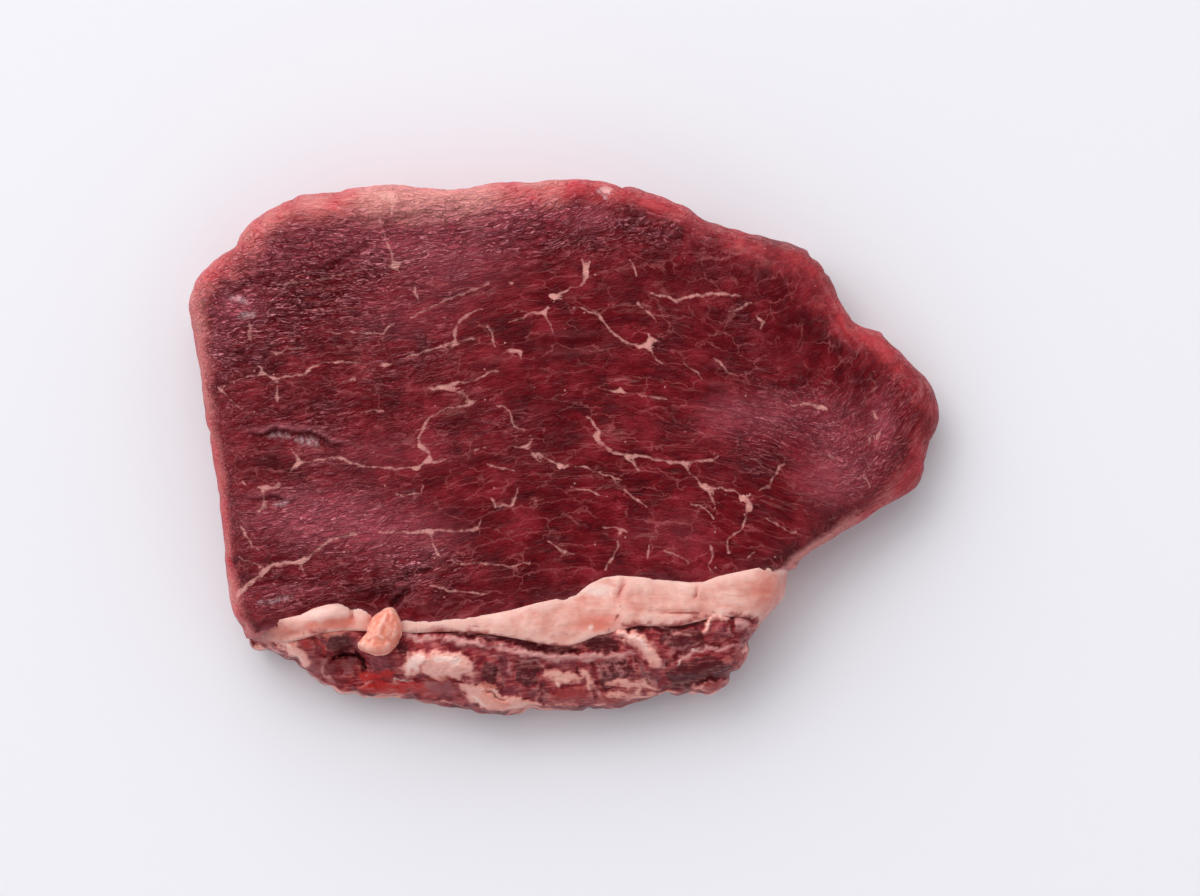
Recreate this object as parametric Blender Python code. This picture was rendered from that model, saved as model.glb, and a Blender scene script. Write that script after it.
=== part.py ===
# A raw sirloin steak: one thick slice across two muscles with a seam of fat between them.
# Everything is in millimetres until the meshes are written, +X along the steak, +Z up,
# with the middle of the steak's box at X 0, Y 0 and its flat underside on Z 0.

import math

import bmesh
import bpy
from mathutils import Vector

MM = 0.001

# Driving sizes
THICKNESS = 23.0          # the big muscle, where it is full
THIN_END = 17.5           # the tapered right end
STRIP_EDGE = 13.0         # the outer edge of the lower muscle
RIM_STEP = 3.4            # spacing of the points round the rim
CELL = 3.0                # side of the top's cells
TALL_CELL = 8.0           # their longer side over the smooth big muscle
FINE_ABOVE = -28.0        # below this Y, over the seam and the lower muscle, the cells are square
CELL_MARGIN = 1.2         # the cells stop this far inside the rounded rim
RIM_RELAX = 0.16          # how much each short inset step evens the rim, so that corners never cross
GAP = 0.3                 # clear space between neighbouring solids
SEAM_LEAN = 2.0           # how far the seam drifts outward from the top down to the base

# How the rim turns from the underside to the top: (inset from the outline, height).
# Heights up to 8 are measured from the base, the rest are shares of the local thickness.
UNDER_RIM = [(3.0, 0.0), (1.1, 1.0), (0.2, 3.2), (0.0, 7.5)]
UPPER_RIM = [(0.3, 0.60), (1.1, 0.77), (2.6, 0.89), (5.0, 0.965), (8.2, 1.0)]

# The whole slice from above, clockwise from its left tip.
OUTLINE = [
    (-90.0, 35.2), (-89.3, 38.5), (-86.6, 42.6), (-80.4, 47.6), (-75.6, 53.6), (-68.4, 58.6),
    (-63.6, 61.2), (-57.0, 61.0), (-43.7, 63.2), (-31.2, 61.8), (-15.1, 63.4), (4.3, 64.2),
    (18.0, 61.6), (28.8, 57.7), (33.8, 54.4), (47.5, 50.5), (56.4, 48.4), (62.4, 42.1),
    (66.2, 34.0), (69.6, 29.4), (75.4, 28.0), (81.1, 21.7), (87.6, 15.2), (90.0, 7.2),
    (86.7, 1.2), (85.2, -7.8), (77.5, -12.6), (66.7, -19.2), (53.6, -28.0), (52.6, -34.4),
    (48.2, -40.0), (43.6, -45.5), (43.4, -49.8), (39.0, -55.4), (35.8, -58.6), (24.0, -58.8),
    (9.8, -62.0), (-9.1, -62.5), (-15.1, -64.0), (-27.6, -61.6), (-39.8, -59.3), (-49.0, -59.4),
    (-57.4, -57.2), (-67.2, -49.4), (-75.6, -47.9), (-77.0, -43.4), (-80.2, -35.6),
    (-82.2, -14.0), (-85.2, 3.8), (-87.4, 18.0), (-89.2, 29.0),
]

# Upper edge of the fat seam on the top face, left to right, from outside the slice to outside.
SEAM_TOP = [
    (-100.0, -42.6), (-79.0, -42.9), (-74.4, -43.0), (-68.2, -41.0), (-62.9, -39.9), (-57.8, -37.6),
    (-49.4, -37.2), (-45.6, -39.4), (-36.0, -40.6), (-27.4, -40.9), (-15.1, -39.2), (-6.0, -36.9),
    (2.0, -35.2), (5.8, -32.6), (10.6, -30.7), (18.0, -30.9), (31.2, -32.2), (36.7, -30.6),
    (47.5, -28.3), (54.0, -26.4), (60.0, -25.0), (100.0, -26.0),
]

# Lower edge of the fat seam on the top face, left to right.
SEAM_FOOT = [
    (-100.0, -43.6), (-79.0, -43.9), (-74.0, -44.4), (-66.0, -45.0), (-59.0, -43.2), (-52.0, -42.2),
    (-38.2, -42.8), (-24.5, -42.6), (-12.2, -44.1), (-2.9, -45.9), (2.4, -45.8), (6.0, -43.9),
    (12.0, -42.6), (17.0, -41.2), (26.2, -41.3), (35.0, -39.3), (42.7, -39.0), (46.0, -40.4),
    (52.0, -42.4), (100.0, -48.0),
]

# The loose lump of fat that lies over the seam, clockwise from its toe.
NUB_OUTLINE = [
    (-49.5, -46.4), (-48.0, -45.0), (-47.3, -43.6), (-46.0, -40.7), (-43.8, -38.5), (-41.8, -37.5),
    (-40.2, -38.8), (-39.0, -41.8), (-39.4, -44.4), (-41.0, -47.4), (-43.8, -48.9), (-47.2, -48.2),
]
NUB_SEAT = (-44.2, -43.2)
NUB_SEAT_RADIUS = 9.5
NUB_BASE = 21.0
NUB_HEIGHT = 5.2
NUB_RINGS = [(0.90, 0.0), (1.0, 0.24), (0.95, 0.58), (0.78, 0.84), (0.48, 0.97)]   # (size, height share)

# Dents and swellings of the top: (X, Y, radius along X, radius along Y, height of the change)
TOP_FORMS = {
    "hollow under the nub": (-44.0, -43.0, 8.5, 7.0, -3.2),
    "cavity": (-52.5, -50.5, 5.4, 3.6, -7.5),
    "lean beside the cavity": (-44.0, -52.0, 5.0, 3.0, -3.0),
    "wet meat at the left of the rim": (-41.0, -57.5, 9.0, 3.2, -3.4),
    "left ledge": (-74.5, -46.6, 4.6, 3.0, -8.0),
    "fat lump in the strip": (-28.0, -51.5, 7.0, 4.0, 1.6),
    "swelling of the seam": (8.0, -38.0, 12.0, 5.0, 0.8),
    "right pocket of lean": (34.0, -45.0, 7.0, 4.5, -1.2),
    "left crease": (-63.0, -1.0, 9.0, 3.0, -1.2),
    "middle of the big muscle": (-10.0, 15.0, 40.0, 26.0, 0.8),
    "hollow in the right end": (72.0, 4.0, 12.0, 9.0, -1.0),
}


def catmull_rom(before, start, end, after, share):
    """One point of the smooth curve that runs from start to end."""
    point = []
    for a, b, c, d in zip(before, start, end, after):
        square = share * share
        cube = square * share
        point.append(0.5 * (2 * b + (c - a) * share + (2 * a - 5 * b + 4 * c - d) * square
                            + (3 * b - a - 3 * c + d) * cube))
    return tuple(point)


def smooth_line(points, spacing, closed):
    """Evenly spaced points on the smooth curve through the given ones."""
    count = len(points)
    spans = count if closed else count - 1
    dense = []
    for index in range(spans):
        if closed:
            around = [points[(index + step) % count] for step in (-1, 0, 1, 2)]
        else:
            around = [points[min(max(index + step, 0), count - 1)] for step in (-1, 0, 1, 2)]
        dense += [catmull_rom(*around, share / 16) for share in range(16)]
    dense.append(points[0] if closed else points[-1])

    length = sum(math.dist(a, b) for a, b in zip(dense, dense[1:]))
    steps = round(length / spacing)
    even = [dense[0]]
    walked = 0.0
    for a, b in zip(dense, dense[1:]):
        stretch = math.dist(a, b)
        while len(even) < steps and walked + stretch >= len(even) * length / steps:
            share = (len(even) * length / steps - walked) / stretch
            even.append((a[0] + (b[0] - a[0]) * share, a[1] + (b[1] - a[1]) * share))
        walked += stretch
    if not closed:
        even.append(dense[-1])
    return even


def inset_loop(loop, distance):
    """The clockwise loop moved inward by a distance, in short relaxed steps that never cross."""
    step_count = max(1, math.ceil(distance / 0.5))
    step = distance / step_count
    for _ in range(step_count):
        count = len(loop)
        moved = []
        for index, (x, y) in enumerate(loop):
            last = loop[index - 1]
            following = loop[(index + 1) % count]
            along = Vector((following[0] - last[0], following[1] - last[1])).normalized()
            inward = (along.y, -along.x)
            middle = ((last[0] + following[0]) / 2, (last[1] + following[1]) / 2)
            moved.append((x + inward[0] * step + RIM_RELAX * (middle[0] - x),
                          y + inward[1] * step + RIM_RELAX * (middle[1] - y)))
        loop = moved
    return loop


def ease(value, low, high):
    """0 below low, 1 above high, smooth between."""
    share = min(max((value - low) / (high - low), 0.0), 1.0)
    return share * share * (3 - 2 * share)


def top_height(x, y):
    """Height of the top face over a point of the plan."""
    height = THICKNESS - (THICKNESS - THIN_END) * ease(x, 42.0, 88.0)
    strip_share = ease(-y, 42.0, 62.0) * ease(-x, -60.0, -40.0)
    height -= (height - STRIP_EDGE) * 0.8 * strip_share
    for form_x, form_y, radius_x, radius_y, change in TOP_FORMS.values():
        away = ((x - form_x) / radius_x) ** 2 + ((y - form_y) / radius_y) ** 2
        height += change * math.exp(-away)
    if math.dist((x, y), NUB_SEAT) < NUB_SEAT_RADIUS:
        height = min(height, NUB_BASE - GAP)
    return height


def inside(loop, x, y, margin):
    """Whether a point lies inside the loop and at least the margin away from it."""
    within = False
    for a, b in zip(loop, loop[1:] + loop[:1]):
        if (a[1] > y) != (b[1] > y) and x < a[0] + (b[0] - a[0]) * (y - a[1]) / (b[1] - a[1]):
            within = not within
        if math.dist(a, (x, y)) < margin:
            return False
    return within


def top_cells(mesh, loop):
    """A net of flat cells at height 1 that fills the loop, fine over the seam and the strip."""
    columns = [-90.0 + CELL * step for step in range(round(180.0 / CELL) + 1)]
    rows = [-64.0 + CELL * step for step in range(round((FINE_ABOVE + 64.0) / CELL) + 1)]
    while rows[-1] < 64.0:
        rows.append(rows[-1] + TALL_CELL)
    loop = [tuple(point) for point in loop]
    net = {}
    for i, x in enumerate(columns):
        for j, y in enumerate(rows):
            if inside(loop, x, y, CELL_MARGIN):
                net[i, j] = (x, y)
    corners = {}
    cells = []
    for i, j in net:
        square = [(i, j), (i + 1, j), (i + 1, j + 1), (i, j + 1)]
        if all(place in net for place in square):
            for place in square:
                if place not in corners:
                    corners[place] = mesh.verts.new((*net[place], 1.0))
            cells.append(mesh.faces.new([corners[place] for place in square]))
    return cells


def whole_slice():
    """The uncut slice as one closed mesh: rim rings, a flat underside and a top of small cells."""
    rim = smooth_line(OUTLINE, RIM_STEP, closed=True)
    mesh = bmesh.new()
    rings = []
    for inset, height in UNDER_RIM:
        rings.append([mesh.verts.new((x, y, height)) for x, y in inset_loop(rim, inset)])
    for inset, share in UPPER_RIM:
        rings.append([mesh.verts.new((x, y, share)) for x, y in inset_loop(rim, inset)])
    for lower, upper in zip(rings, rings[1:]):
        count = len(lower)
        for index in range(count):
            following = (index + 1) % count
            mesh.faces.new((lower[following], lower[index], upper[index], upper[following]))
    mesh.faces.new(rings[0])

    cells = top_cells(mesh, [vertex.co.xy for vertex in rings[-1]])
    corners = {corner for cell in cells for corner in cell.verts}
    border = [edge for cell in cells for edge in cell.edges if len(edge.link_faces) == 1]
    rim_edges = [mesh.edges.get((a, b)) for a, b in zip(rings[-1], rings[-1][1:] + rings[-1][:1])]
    bmesh.ops.triangle_fill(mesh, edges=list(dict.fromkeys(border)) + rim_edges, use_beauty=True,
                            use_dissolve=False, normal=(0, 0, 1))

    for vertex in [vertex for ring in rings[len(UNDER_RIM):] for vertex in ring] + list(corners):
        vertex.co.z *= top_height(vertex.co.x, vertex.co.y)
    bmesh.ops.triangulate(mesh, faces=mesh.faces)
    return mesh


def finish(name, mesh, material):
    """Turn a bmesh in millimetres into an object in metres, with its faces pointing out."""
    bmesh.ops.recalc_face_normals(mesh, faces=mesh.faces)
    for vertex in mesh.verts:
        vertex.co *= MM
    data = bpy.data.meshes.new(name)
    mesh.to_mesh(data)
    mesh.free()
    data.materials.append(material)
    data.shade_smooth()
    data.set_sharp_from_angle(angle=math.radians(35))
    piece = bpy.data.objects.new(name, data)
    bpy.context.scene.collection.objects.link(piece)
    return piece


def cutter(name, line, side):
    """A block on one side of a seam line (+1 above it, -1 below), leaning as the seam does."""
    mesh = bmesh.new()
    far_y = side * 90.0
    floor, ceiling = -10.0, 50.0
    columns = []
    for x, y in smooth_line(line, RIM_STEP, closed=False):
        column = []
        for height in (floor, ceiling):
            drift = -SEAM_LEAN * (THICKNESS - height) / THICKNESS
            column.append(mesh.verts.new((x, y + drift + side * GAP / 2, height)))
            column.append(mesh.verts.new((x, far_y, height)))
        columns.append(column)
    for left, right in zip(columns, columns[1:]):
        mesh.faces.new((left[0], right[0], right[2], left[2]))
        mesh.faces.new((left[1], left[3], right[3], right[1]))
        mesh.faces.new((left[0], left[1], right[1], right[0]))
        mesh.faces.new((left[2], right[2], right[3], left[3]))
    for end in (columns[0], columns[-1]):
        mesh.faces.new((end[0], end[2], end[3], end[1]))
    block = finish(name, mesh, guide_look)
    block.hide_render = True
    block.display_type = "WIRE"
    return block


def cut(piece, block, operation):
    boolean = piece.modifiers.new(block.name, "BOOLEAN")
    boolean.operation = operation
    boolean.object = block
    return boolean


def fat_lump():
    """The nub: a low loaf on a flat foot, its rings shrinking towards its crown."""
    outline = smooth_line(NUB_OUTLINE, 1.3, closed=True)
    count = len(outline)
    centre_x = sum(x for x, y in outline) / count
    centre_y = sum(y for x, y in outline) / count
    mesh = bmesh.new()
    rings = []
    for size, share in NUB_RINGS:
        height = NUB_BASE + NUB_HEIGHT * share
        rings.append([mesh.verts.new((centre_x + (x - centre_x) * size, centre_y + (y - centre_y) * size, height))
                      for x, y in outline])
    for lower, upper in zip(rings, rings[1:]):
        for index in range(count):
            following = (index + 1) % count
            mesh.faces.new((lower[following], lower[index], upper[index], upper[following]))
    mesh.faces.new(rings[0])
    crown = mesh.verts.new((centre_x, centre_y, NUB_BASE + NUB_HEIGHT))
    for index in range(count):
        mesh.faces.new((rings[-1][(index + 1) % count], rings[-1][index], crown))
    bmesh.ops.triangulate(mesh, faces=mesh.faces)
    return mesh


def look(name, red, green, blue, roughness):
    material = bpy.data.materials.new(name)
    material.use_nodes = True
    shader = material.node_tree.nodes["Principled BSDF"]
    shader.inputs["Base Color"].default_value = (red, green, blue, 1.0)
    shader.inputs["Roughness"].default_value = roughness
    shader.inputs["Metallic"].default_value = 0.0
    return material


for leftover in list(bpy.data.objects):
    bpy.data.objects.remove(leftover)

lean_look = look("beef_lean", 0.16, 0.015, 0.022, 0.34)
seam_look = look("beef_hard_fat", 0.78, 0.40, 0.33, 0.42)
strip_look = look("beef_lean_with_fat", 0.26, 0.06, 0.06, 0.36)
nub_look = look("beef_soft_fat", 0.83, 0.32, 0.23, 0.40)
guide_look = look("guide", 0.5, 0.5, 0.5, 0.5)

above_seam = cutter("above_seam", SEAM_TOP, 1)
below_seam_top = cutter("below_seam_top", SEAM_TOP, -1)
above_seam_foot = cutter("above_seam_foot", SEAM_FOOT, 1)
below_seam = cutter("below_seam", SEAM_FOOT, -1)

main_muscle = finish("main_muscle", whole_slice(), lean_look)
cut(main_muscle, above_seam, "INTERSECT")

fat_seam = finish("fat_seam", whole_slice(), seam_look)
cut(fat_seam, below_seam_top, "INTERSECT")
cut(fat_seam, above_seam_foot, "INTERSECT")

lower_muscle = finish("lower_muscle", whole_slice(), strip_look)
cut(lower_muscle, below_seam, "INTERSECT")

fat_nub = finish("fat_nub", fat_lump(), nub_look)
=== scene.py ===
# A thick raw sirloin steak lying on a pale table, seen from straight above in soft light.
# Lengths in the lists and dictionaries are millimetres, measured from the middle of the steak.
import math

import bpy
import numpy as np
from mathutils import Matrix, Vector
from mathutils.bvhtree import BVHTree
from mathutils.kdtree import KDTree


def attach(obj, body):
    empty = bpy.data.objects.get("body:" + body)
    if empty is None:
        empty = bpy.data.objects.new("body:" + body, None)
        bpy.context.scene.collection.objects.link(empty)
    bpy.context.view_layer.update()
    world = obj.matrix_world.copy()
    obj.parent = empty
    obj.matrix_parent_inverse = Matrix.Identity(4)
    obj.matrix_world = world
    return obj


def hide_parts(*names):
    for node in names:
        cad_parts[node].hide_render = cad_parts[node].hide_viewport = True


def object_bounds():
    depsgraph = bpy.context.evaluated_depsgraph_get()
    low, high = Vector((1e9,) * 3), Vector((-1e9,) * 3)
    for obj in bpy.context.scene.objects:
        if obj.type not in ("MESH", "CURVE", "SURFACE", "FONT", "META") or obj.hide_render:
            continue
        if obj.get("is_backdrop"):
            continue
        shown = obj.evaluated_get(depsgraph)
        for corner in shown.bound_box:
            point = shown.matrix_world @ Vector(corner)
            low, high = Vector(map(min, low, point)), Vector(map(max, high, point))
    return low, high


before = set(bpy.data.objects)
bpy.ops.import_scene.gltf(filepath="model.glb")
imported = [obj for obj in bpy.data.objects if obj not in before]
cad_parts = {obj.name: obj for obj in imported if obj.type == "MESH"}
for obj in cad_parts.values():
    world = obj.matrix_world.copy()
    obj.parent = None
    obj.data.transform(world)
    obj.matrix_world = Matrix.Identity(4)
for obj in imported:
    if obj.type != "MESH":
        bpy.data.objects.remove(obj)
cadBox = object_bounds()
mm = 0.001

# The table, the light and the camera

studio = {
    "frameWidth": 288.0,     # how much of the table the picture takes in, side to side
    "aim": (8.2, 0.4),       # the steak lies a little left of the picture's middle
    "aimHeight": 14.0,
    "cameraHeight": 930.0,
    "sensor": 36.0,
    "tableSize": 6000.0,
    "tableColour": "#EFEEF2",
    "skyTint": (0.985, 0.99, 1.03),
    "skyRing": [(0.0, 0.84), (0.06, 0.82), (0.2, 0.76), (0.45, 0.96), (0.66, 0.87), (0.85, 0.3), (1.0, 0.06)],
    "skyLean": (-0.17, 0.28, 0.0),    # more of the light comes from the far left
    "windowPlace": (-420.0, 700.0, 900.0),
    "windowSize": (700.0, 500.0),
    "windowPower": 2.9,
    "keyFrom": (-540.0, 900.0, 900.0),
    "keySpread": 80.0,       # degrees across, which makes the shadow's edge soft
    "keyPower": 1.46,
}


def hexColour(code):
    # sRGB hex to the linear colour that a socket takes
    parts = [int(code[at:at + 2], 16) / 255 for at in (1, 3, 5)]
    linear = [part / 12.92 if part <= 0.04045 else ((part + 0.055) / 1.055) ** 2.4 for part in parts]
    return (*linear, 1.0)


def addNode(tree, kind, inputs, **settings):
    # one node, its settings, and each input either linked or given a value
    node = tree.nodes.new(kind)
    for name, value in settings.items():
        setattr(node, name, value)
    for socket, value in inputs.items():
        if isinstance(value, bpy.types.NodeSocket):
            tree.links.new(value, node.inputs[socket])
        else:
            node.inputs[socket].default_value = value
    return node


def makeStudio(s):
    scene = bpy.context.scene
    world = bpy.data.worlds.new("soft room light")
    world.use_nodes = True
    tree = world.node_tree
    direction = addNode(tree, "ShaderNodeTexCoord", {}).outputs["Generated"]
    height = addNode(tree, "ShaderNodeSeparateXYZ", {0: direction}).outputs[2]
    ring = addNode(tree, "ShaderNodeValToRGB", {0: height})
    while len(ring.color_ramp.elements) < len(s["skyRing"]):
        ring.color_ramp.elements.new(0.5)
    for stop, (place, level) in zip(ring.color_ramp.elements, s["skyRing"]):
        stop.position = place
        stop.color = (*[level * part for part in s["skyTint"]], 1.0)
    lean = addNode(tree, "ShaderNodeVectorMath", {0: direction, 1: s["skyLean"]}, operation="DOT_PRODUCT")
    lean = addNode(tree, "ShaderNodeMath", {0: lean.outputs["Value"], 1: 1.0}, operation="ADD").outputs[0]
    tree.links.new(ring.outputs[0], tree.nodes["Background"].inputs["Color"])
    tree.links.new(lean, tree.nodes["Background"].inputs["Strength"])
    scene.world = world
    scene.view_settings.view_transform = "Standard"

    bpy.ops.object.select_all(action="DESELECT")
    bpy.ops.mesh.primitive_plane_add(size=s["tableSize"] * mm, location=(0, 0, 0))
    table = bpy.context.object
    table.name = "table"
    paper = bpy.data.materials.new("matt white table")
    paper.use_nodes = True
    shader = paper.node_tree.nodes["Principled BSDF"]
    shader.inputs["Base Color"].default_value = hexColour(s["tableColour"])
    shader.inputs["Roughness"].default_value = 0.8
    shader.inputs["Specular IOR Level"].default_value = 0.2
    table.data.materials.append(paper)
    table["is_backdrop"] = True

    light = bpy.data.lights.new("window", "AREA")
    light.shape = "RECTANGLE"
    light.size = s["windowSize"][0] * mm
    light.size_y = s["windowSize"][1] * mm
    light.energy = s["windowPower"]
    window = bpy.data.objects.new("window", light)
    window.location = Vector(s["windowPlace"]) * mm
    window.rotation_euler = (-window.location).to_track_quat("-Z", "Y").to_euler()
    scene.collection.objects.link(window)
    key = bpy.data.lights.new("key", "SUN")
    key.energy = s["keyPower"]
    key.angle = math.radians(s["keySpread"])
    softbox = bpy.data.objects.new("key", key)
    softbox.rotation_euler = (-Vector(s["keyFrom"])).to_track_quat("-Z", "Y").to_euler()
    scene.collection.objects.link(softbox)

    camera = bpy.data.cameras.new("overhead")
    camera.sensor_width = s["sensor"]
    camera.lens = s["sensor"] * (s["cameraHeight"] - s["aimHeight"]) / s["frameWidth"]
    overhead = bpy.data.objects.new("overhead", camera)
    overhead.location = (s["aim"][0] * mm, s["aim"][1] * mm, s["cameraHeight"] * mm)
    scene.collection.objects.link(overhead)
    scene.camera = overhead
    print("studio ready")


# Shaping tools shared by all the pieces


def lumps(x, y, size, seed):
    # soft noise from about -1 to 1 whose lumps are as wide as the size
    x = x / size + seed * 17.31
    y = y / size - seed * 9.17
    column, row = np.floor(x), np.floor(y)
    partX, partY = x - column, y - row

    def corner(i, j):
        turn = np.sin((column + i) * 127.1 + (row + j) * 311.7) * 43758.5453
        turn = (turn - np.floor(turn)) * 2 * math.pi
        return np.cos(turn) * (partX - i) + np.sin(turn) * (partY - j)

    easeX = partX ** 3 * (partX * (partX * 6 - 15) + 10)
    easeY = partY ** 3 * (partY * (partY * 6 - 15) + 10)
    near = corner(0, 0) * (1 - easeX) + corner(1, 0) * easeX
    far = corner(0, 1) * (1 - easeX) + corner(1, 1) * easeX
    return 1.5 * (near * (1 - easeY) + far * easeY)


def ease(value, low, high):
    # 0 below low, 1 above high, smooth between
    share = np.clip((value - low) / (high - low), 0, 1)
    return share * share * (3 - 2 * share)


def patches(x, y, marks):
    # sum of soft round patches: (x, y, reach along x, reach along y, amount)
    total = np.zeros_like(x)
    for markX, markY, reachX, reachY, amount in marks:
        total += amount * np.exp(-((x - markX) / reachX) ** 2 - ((y - markY) / reachY) ** 2)
    return total


def curved(points):
    # a smooth run through the points, three steps to each stretch
    if len(points) < 3:
        return points
    ends = [points[0], *points, points[-1]]
    run = []
    for before, start, end, after in zip(ends, ends[1:], ends[2:], ends[3:]):
        for t in (0.0, 0.33, 0.67):
            run.append(tuple(
                0.5 * (2 * q + (r - p) * t + (2 * p - 5 * q + 4 * r - w) * t * t
                       + (3 * q - p - 3 * r + w) * t ** 3)
                for p, q, r, w in zip(before, start, end, after)))
    return [*run, points[-1]]


def nearestLine(x, y, lines, tapered=False):
    # for each point: the way to the nearest line (dx, dy, distance), its half width, how near others are
    best = np.full(x.shape, 1e9)
    found = np.zeros((5, x.size))
    for width, *points in lines:
        own = np.full(x.shape, 1e9)
        steps = len(points) - 1
        for step, ((startX, startY), (endX, endY)) in enumerate(zip(points, points[1:])):
            spanX, spanY = endX - startX, endY - startY
            share = ((x - startX) * spanX + (y - startY) * spanY) / max(spanX ** 2 + spanY ** 2, 1e-6)
            share = np.clip(share, 0, 1)
            awayX, awayY = x - startX - share * spanX, y - startY - share * spanY
            away = np.hypot(awayX, awayY)
            own = np.minimum(own, away)
            half = np.full(x.shape, width / 2)
            if tapered:
                toEnd = np.minimum(step + share, steps - step - share) / steps
                half *= 0.3 + 0.8 * np.clip(toEnd * 4, 0, 1)
            closer = away - half < best
            best = np.where(closer, away - half, best)
            for row, value in zip(found, (awayX, awayY, away, half)):
                row[closer] = value[closer]
        found[4] += np.exp(-own ** 2)
    found[4] -= np.exp(-found[2] ** 2)
    return found


def strokes(x, y, lines, soft):
    # 1 inside painted strokes, fading to 0 over the soft width outside their edges
    awayX, awayY, away, half, others = nearestLine(x, y,
                                                   [(width, *curved(line)) for width, *line in lines],
                                                   tapered=True)
    return 1 - ease(away - half, -soft / 2, soft / 2)


def edgeHeights(points, normals):
    # for each point, how high the top stands at its nearest edge
    flat = points[normals[:, 2] > 0.85]
    tree = KDTree(len(flat))
    for index, (x, y, z) in enumerate(flat):
        tree.insert((x, y, 0.0), index)
    tree.balance()
    heights = np.full(len(points), flat[:, 2].max())
    for index in np.nonzero(normals[:, 2] < 0.85)[0]:
        heights[index] = flat[tree.find((points[index, 0], points[index, 1], 0.0))[1], 2]
    return heights


def dentOutline(points, normals, side, dents):
    # presses small bays into the side walls: (x, y, reach, how far in)
    x, y = points[:, 0].copy(), points[:, 1].copy()
    for dentX, dentY, reach, depth in dents:
        near = np.exp(-((x - dentX) ** 2 + (y - dentY) ** 2) / reach ** 2)
        points[:, :2] -= normals[:, :2] * (side * depth * near)[:, None]


def blend(x, y, marks, reach):
    # value at each point, smoothly mixed from marks (x, y, value)
    total = np.zeros_like(x)
    weights = np.zeros_like(x)
    for markX, markY, value in marks:
        weight = 1 / ((x - markX) ** 2 + (y - markY) ** 2 + reach ** 2) ** 2
        total += value * weight
        weights += weight
    return total / weights


def grainMaps(marks, reach=14.0, side=320.0, cells=160):
    # two maps that grow by 1 for each mm along and across the fibres, whose direction the marks give
    axis = (np.arange(cells) / cells - 0.5) * side
    x, y = np.meshgrid(axis, axis, indexing="ij")
    turn = np.radians(blend(x, y, marks, reach))
    wave = np.fft.fftfreq(cells, side / cells) * 2 * math.pi
    waveX, waveY = np.meshgrid(wave, wave, indexing="ij")
    square = waveX ** 2 + waveY ** 2
    square[0, 0] = 1.0
    maps = []
    for alongX, alongY in ((np.cos(turn), np.sin(turn)), (-np.sin(turn), np.cos(turn))):
        steadyX, steadyY = alongX.mean(), alongY.mean()
        spread = 1j * (waveX * np.fft.fft2(alongX) + waveY * np.fft.fft2(alongY))
        solved = np.fft.ifft2(-spread / square).real
        maps.append(solved + steadyX * x + steadyY * y)
    return maps, side, cells


def readMap(values, side, cells, x, y):
    # the map's value at each point, mixed from its four nearest cells
    column = (x / side + 0.5) * cells
    row = (y / side + 0.5) * cells
    i, j = column.astype(int), row.astype(int)
    shareX, shareY = column - i, row - j
    near = values[i, j] * (1 - shareX) + values[i + 1, j] * shareX
    far = values[i, j + 1] * (1 - shareX) + values[i + 1, j + 1] * shareX
    return near * (1 - shareY) + far * shareY


def readPoints(piece):
    # the mesh's points and normals in millimetres
    count = len(piece.data.vertices)
    points = np.empty(count * 3)
    normals = np.empty(count * 3)
    piece.data.vertices.foreach_get("co", points)
    piece.data.vertices.foreach_get("normal", normals)
    return points.reshape(-1, 3) / mm, normals.reshape(-1, 3)


def writePoints(piece, points):
    piece.data.vertices.foreach_set("co", (points * mm).ravel())
    piece.data.update()


def paint(piece, name, values):
    # a number, or three, on every point of the mesh, which its material reads
    isVector = values.ndim == 2
    layer = piece.data.attributes.new(name, "FLOAT_VECTOR" if isVector else "FLOAT", "POINT")
    layer.data.foreach_set("vector" if isVector else "value", values.astype(np.float32).ravel())


def reliefOf(piece, rounds):
    # how far each point lies below (+) or above (-) the smoothed surface around it, in millimetres
    points, normals = readPoints(piece)
    pairs = np.empty(len(piece.data.edges) * 2, dtype=np.int64)
    piece.data.edges.foreach_get("vertices", pairs)
    first, second = pairs[::2], pairs[1::2]
    count = len(points)
    degree = np.bincount(pairs, minlength=count) + 1.0
    smooth = points.copy()
    for turn in range(rounds):
        for axis in range(3):
            total = np.bincount(first, weights=smooth[second, axis], minlength=count)
            total += np.bincount(second, weights=smooth[first, axis], minlength=count)
            smooth[:, axis] = (smooth[:, axis] + total) / degree
    return ((smooth - points) * normals).sum(axis=1)


# painted shade in the mesh's hollows and painted highlight on its crests
def paintReliefShading(piece, rounds, depth):
    relief = reliefOf(piece, rounds)
    paint(piece, "hollowShade", np.clip(relief / depth, 0, 1))
    paint(piece, "crestHighlight", np.clip(-relief / depth, 0, 1))


def rimLine():
    # the steak's outline from above, read from the ring of points at its widest height
    ring = []
    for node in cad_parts.values():
        for vertex in node.data.vertices:
            if abs(vertex.co.z / mm - 7.5) < 0.01:
                ring.append((vertex.co.x / mm, vertex.co.y / mm))
    ring.sort(key=lambda point: math.atan2(point[1], point[0]))
    return [0.0, *ring, ring[0]]


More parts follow.
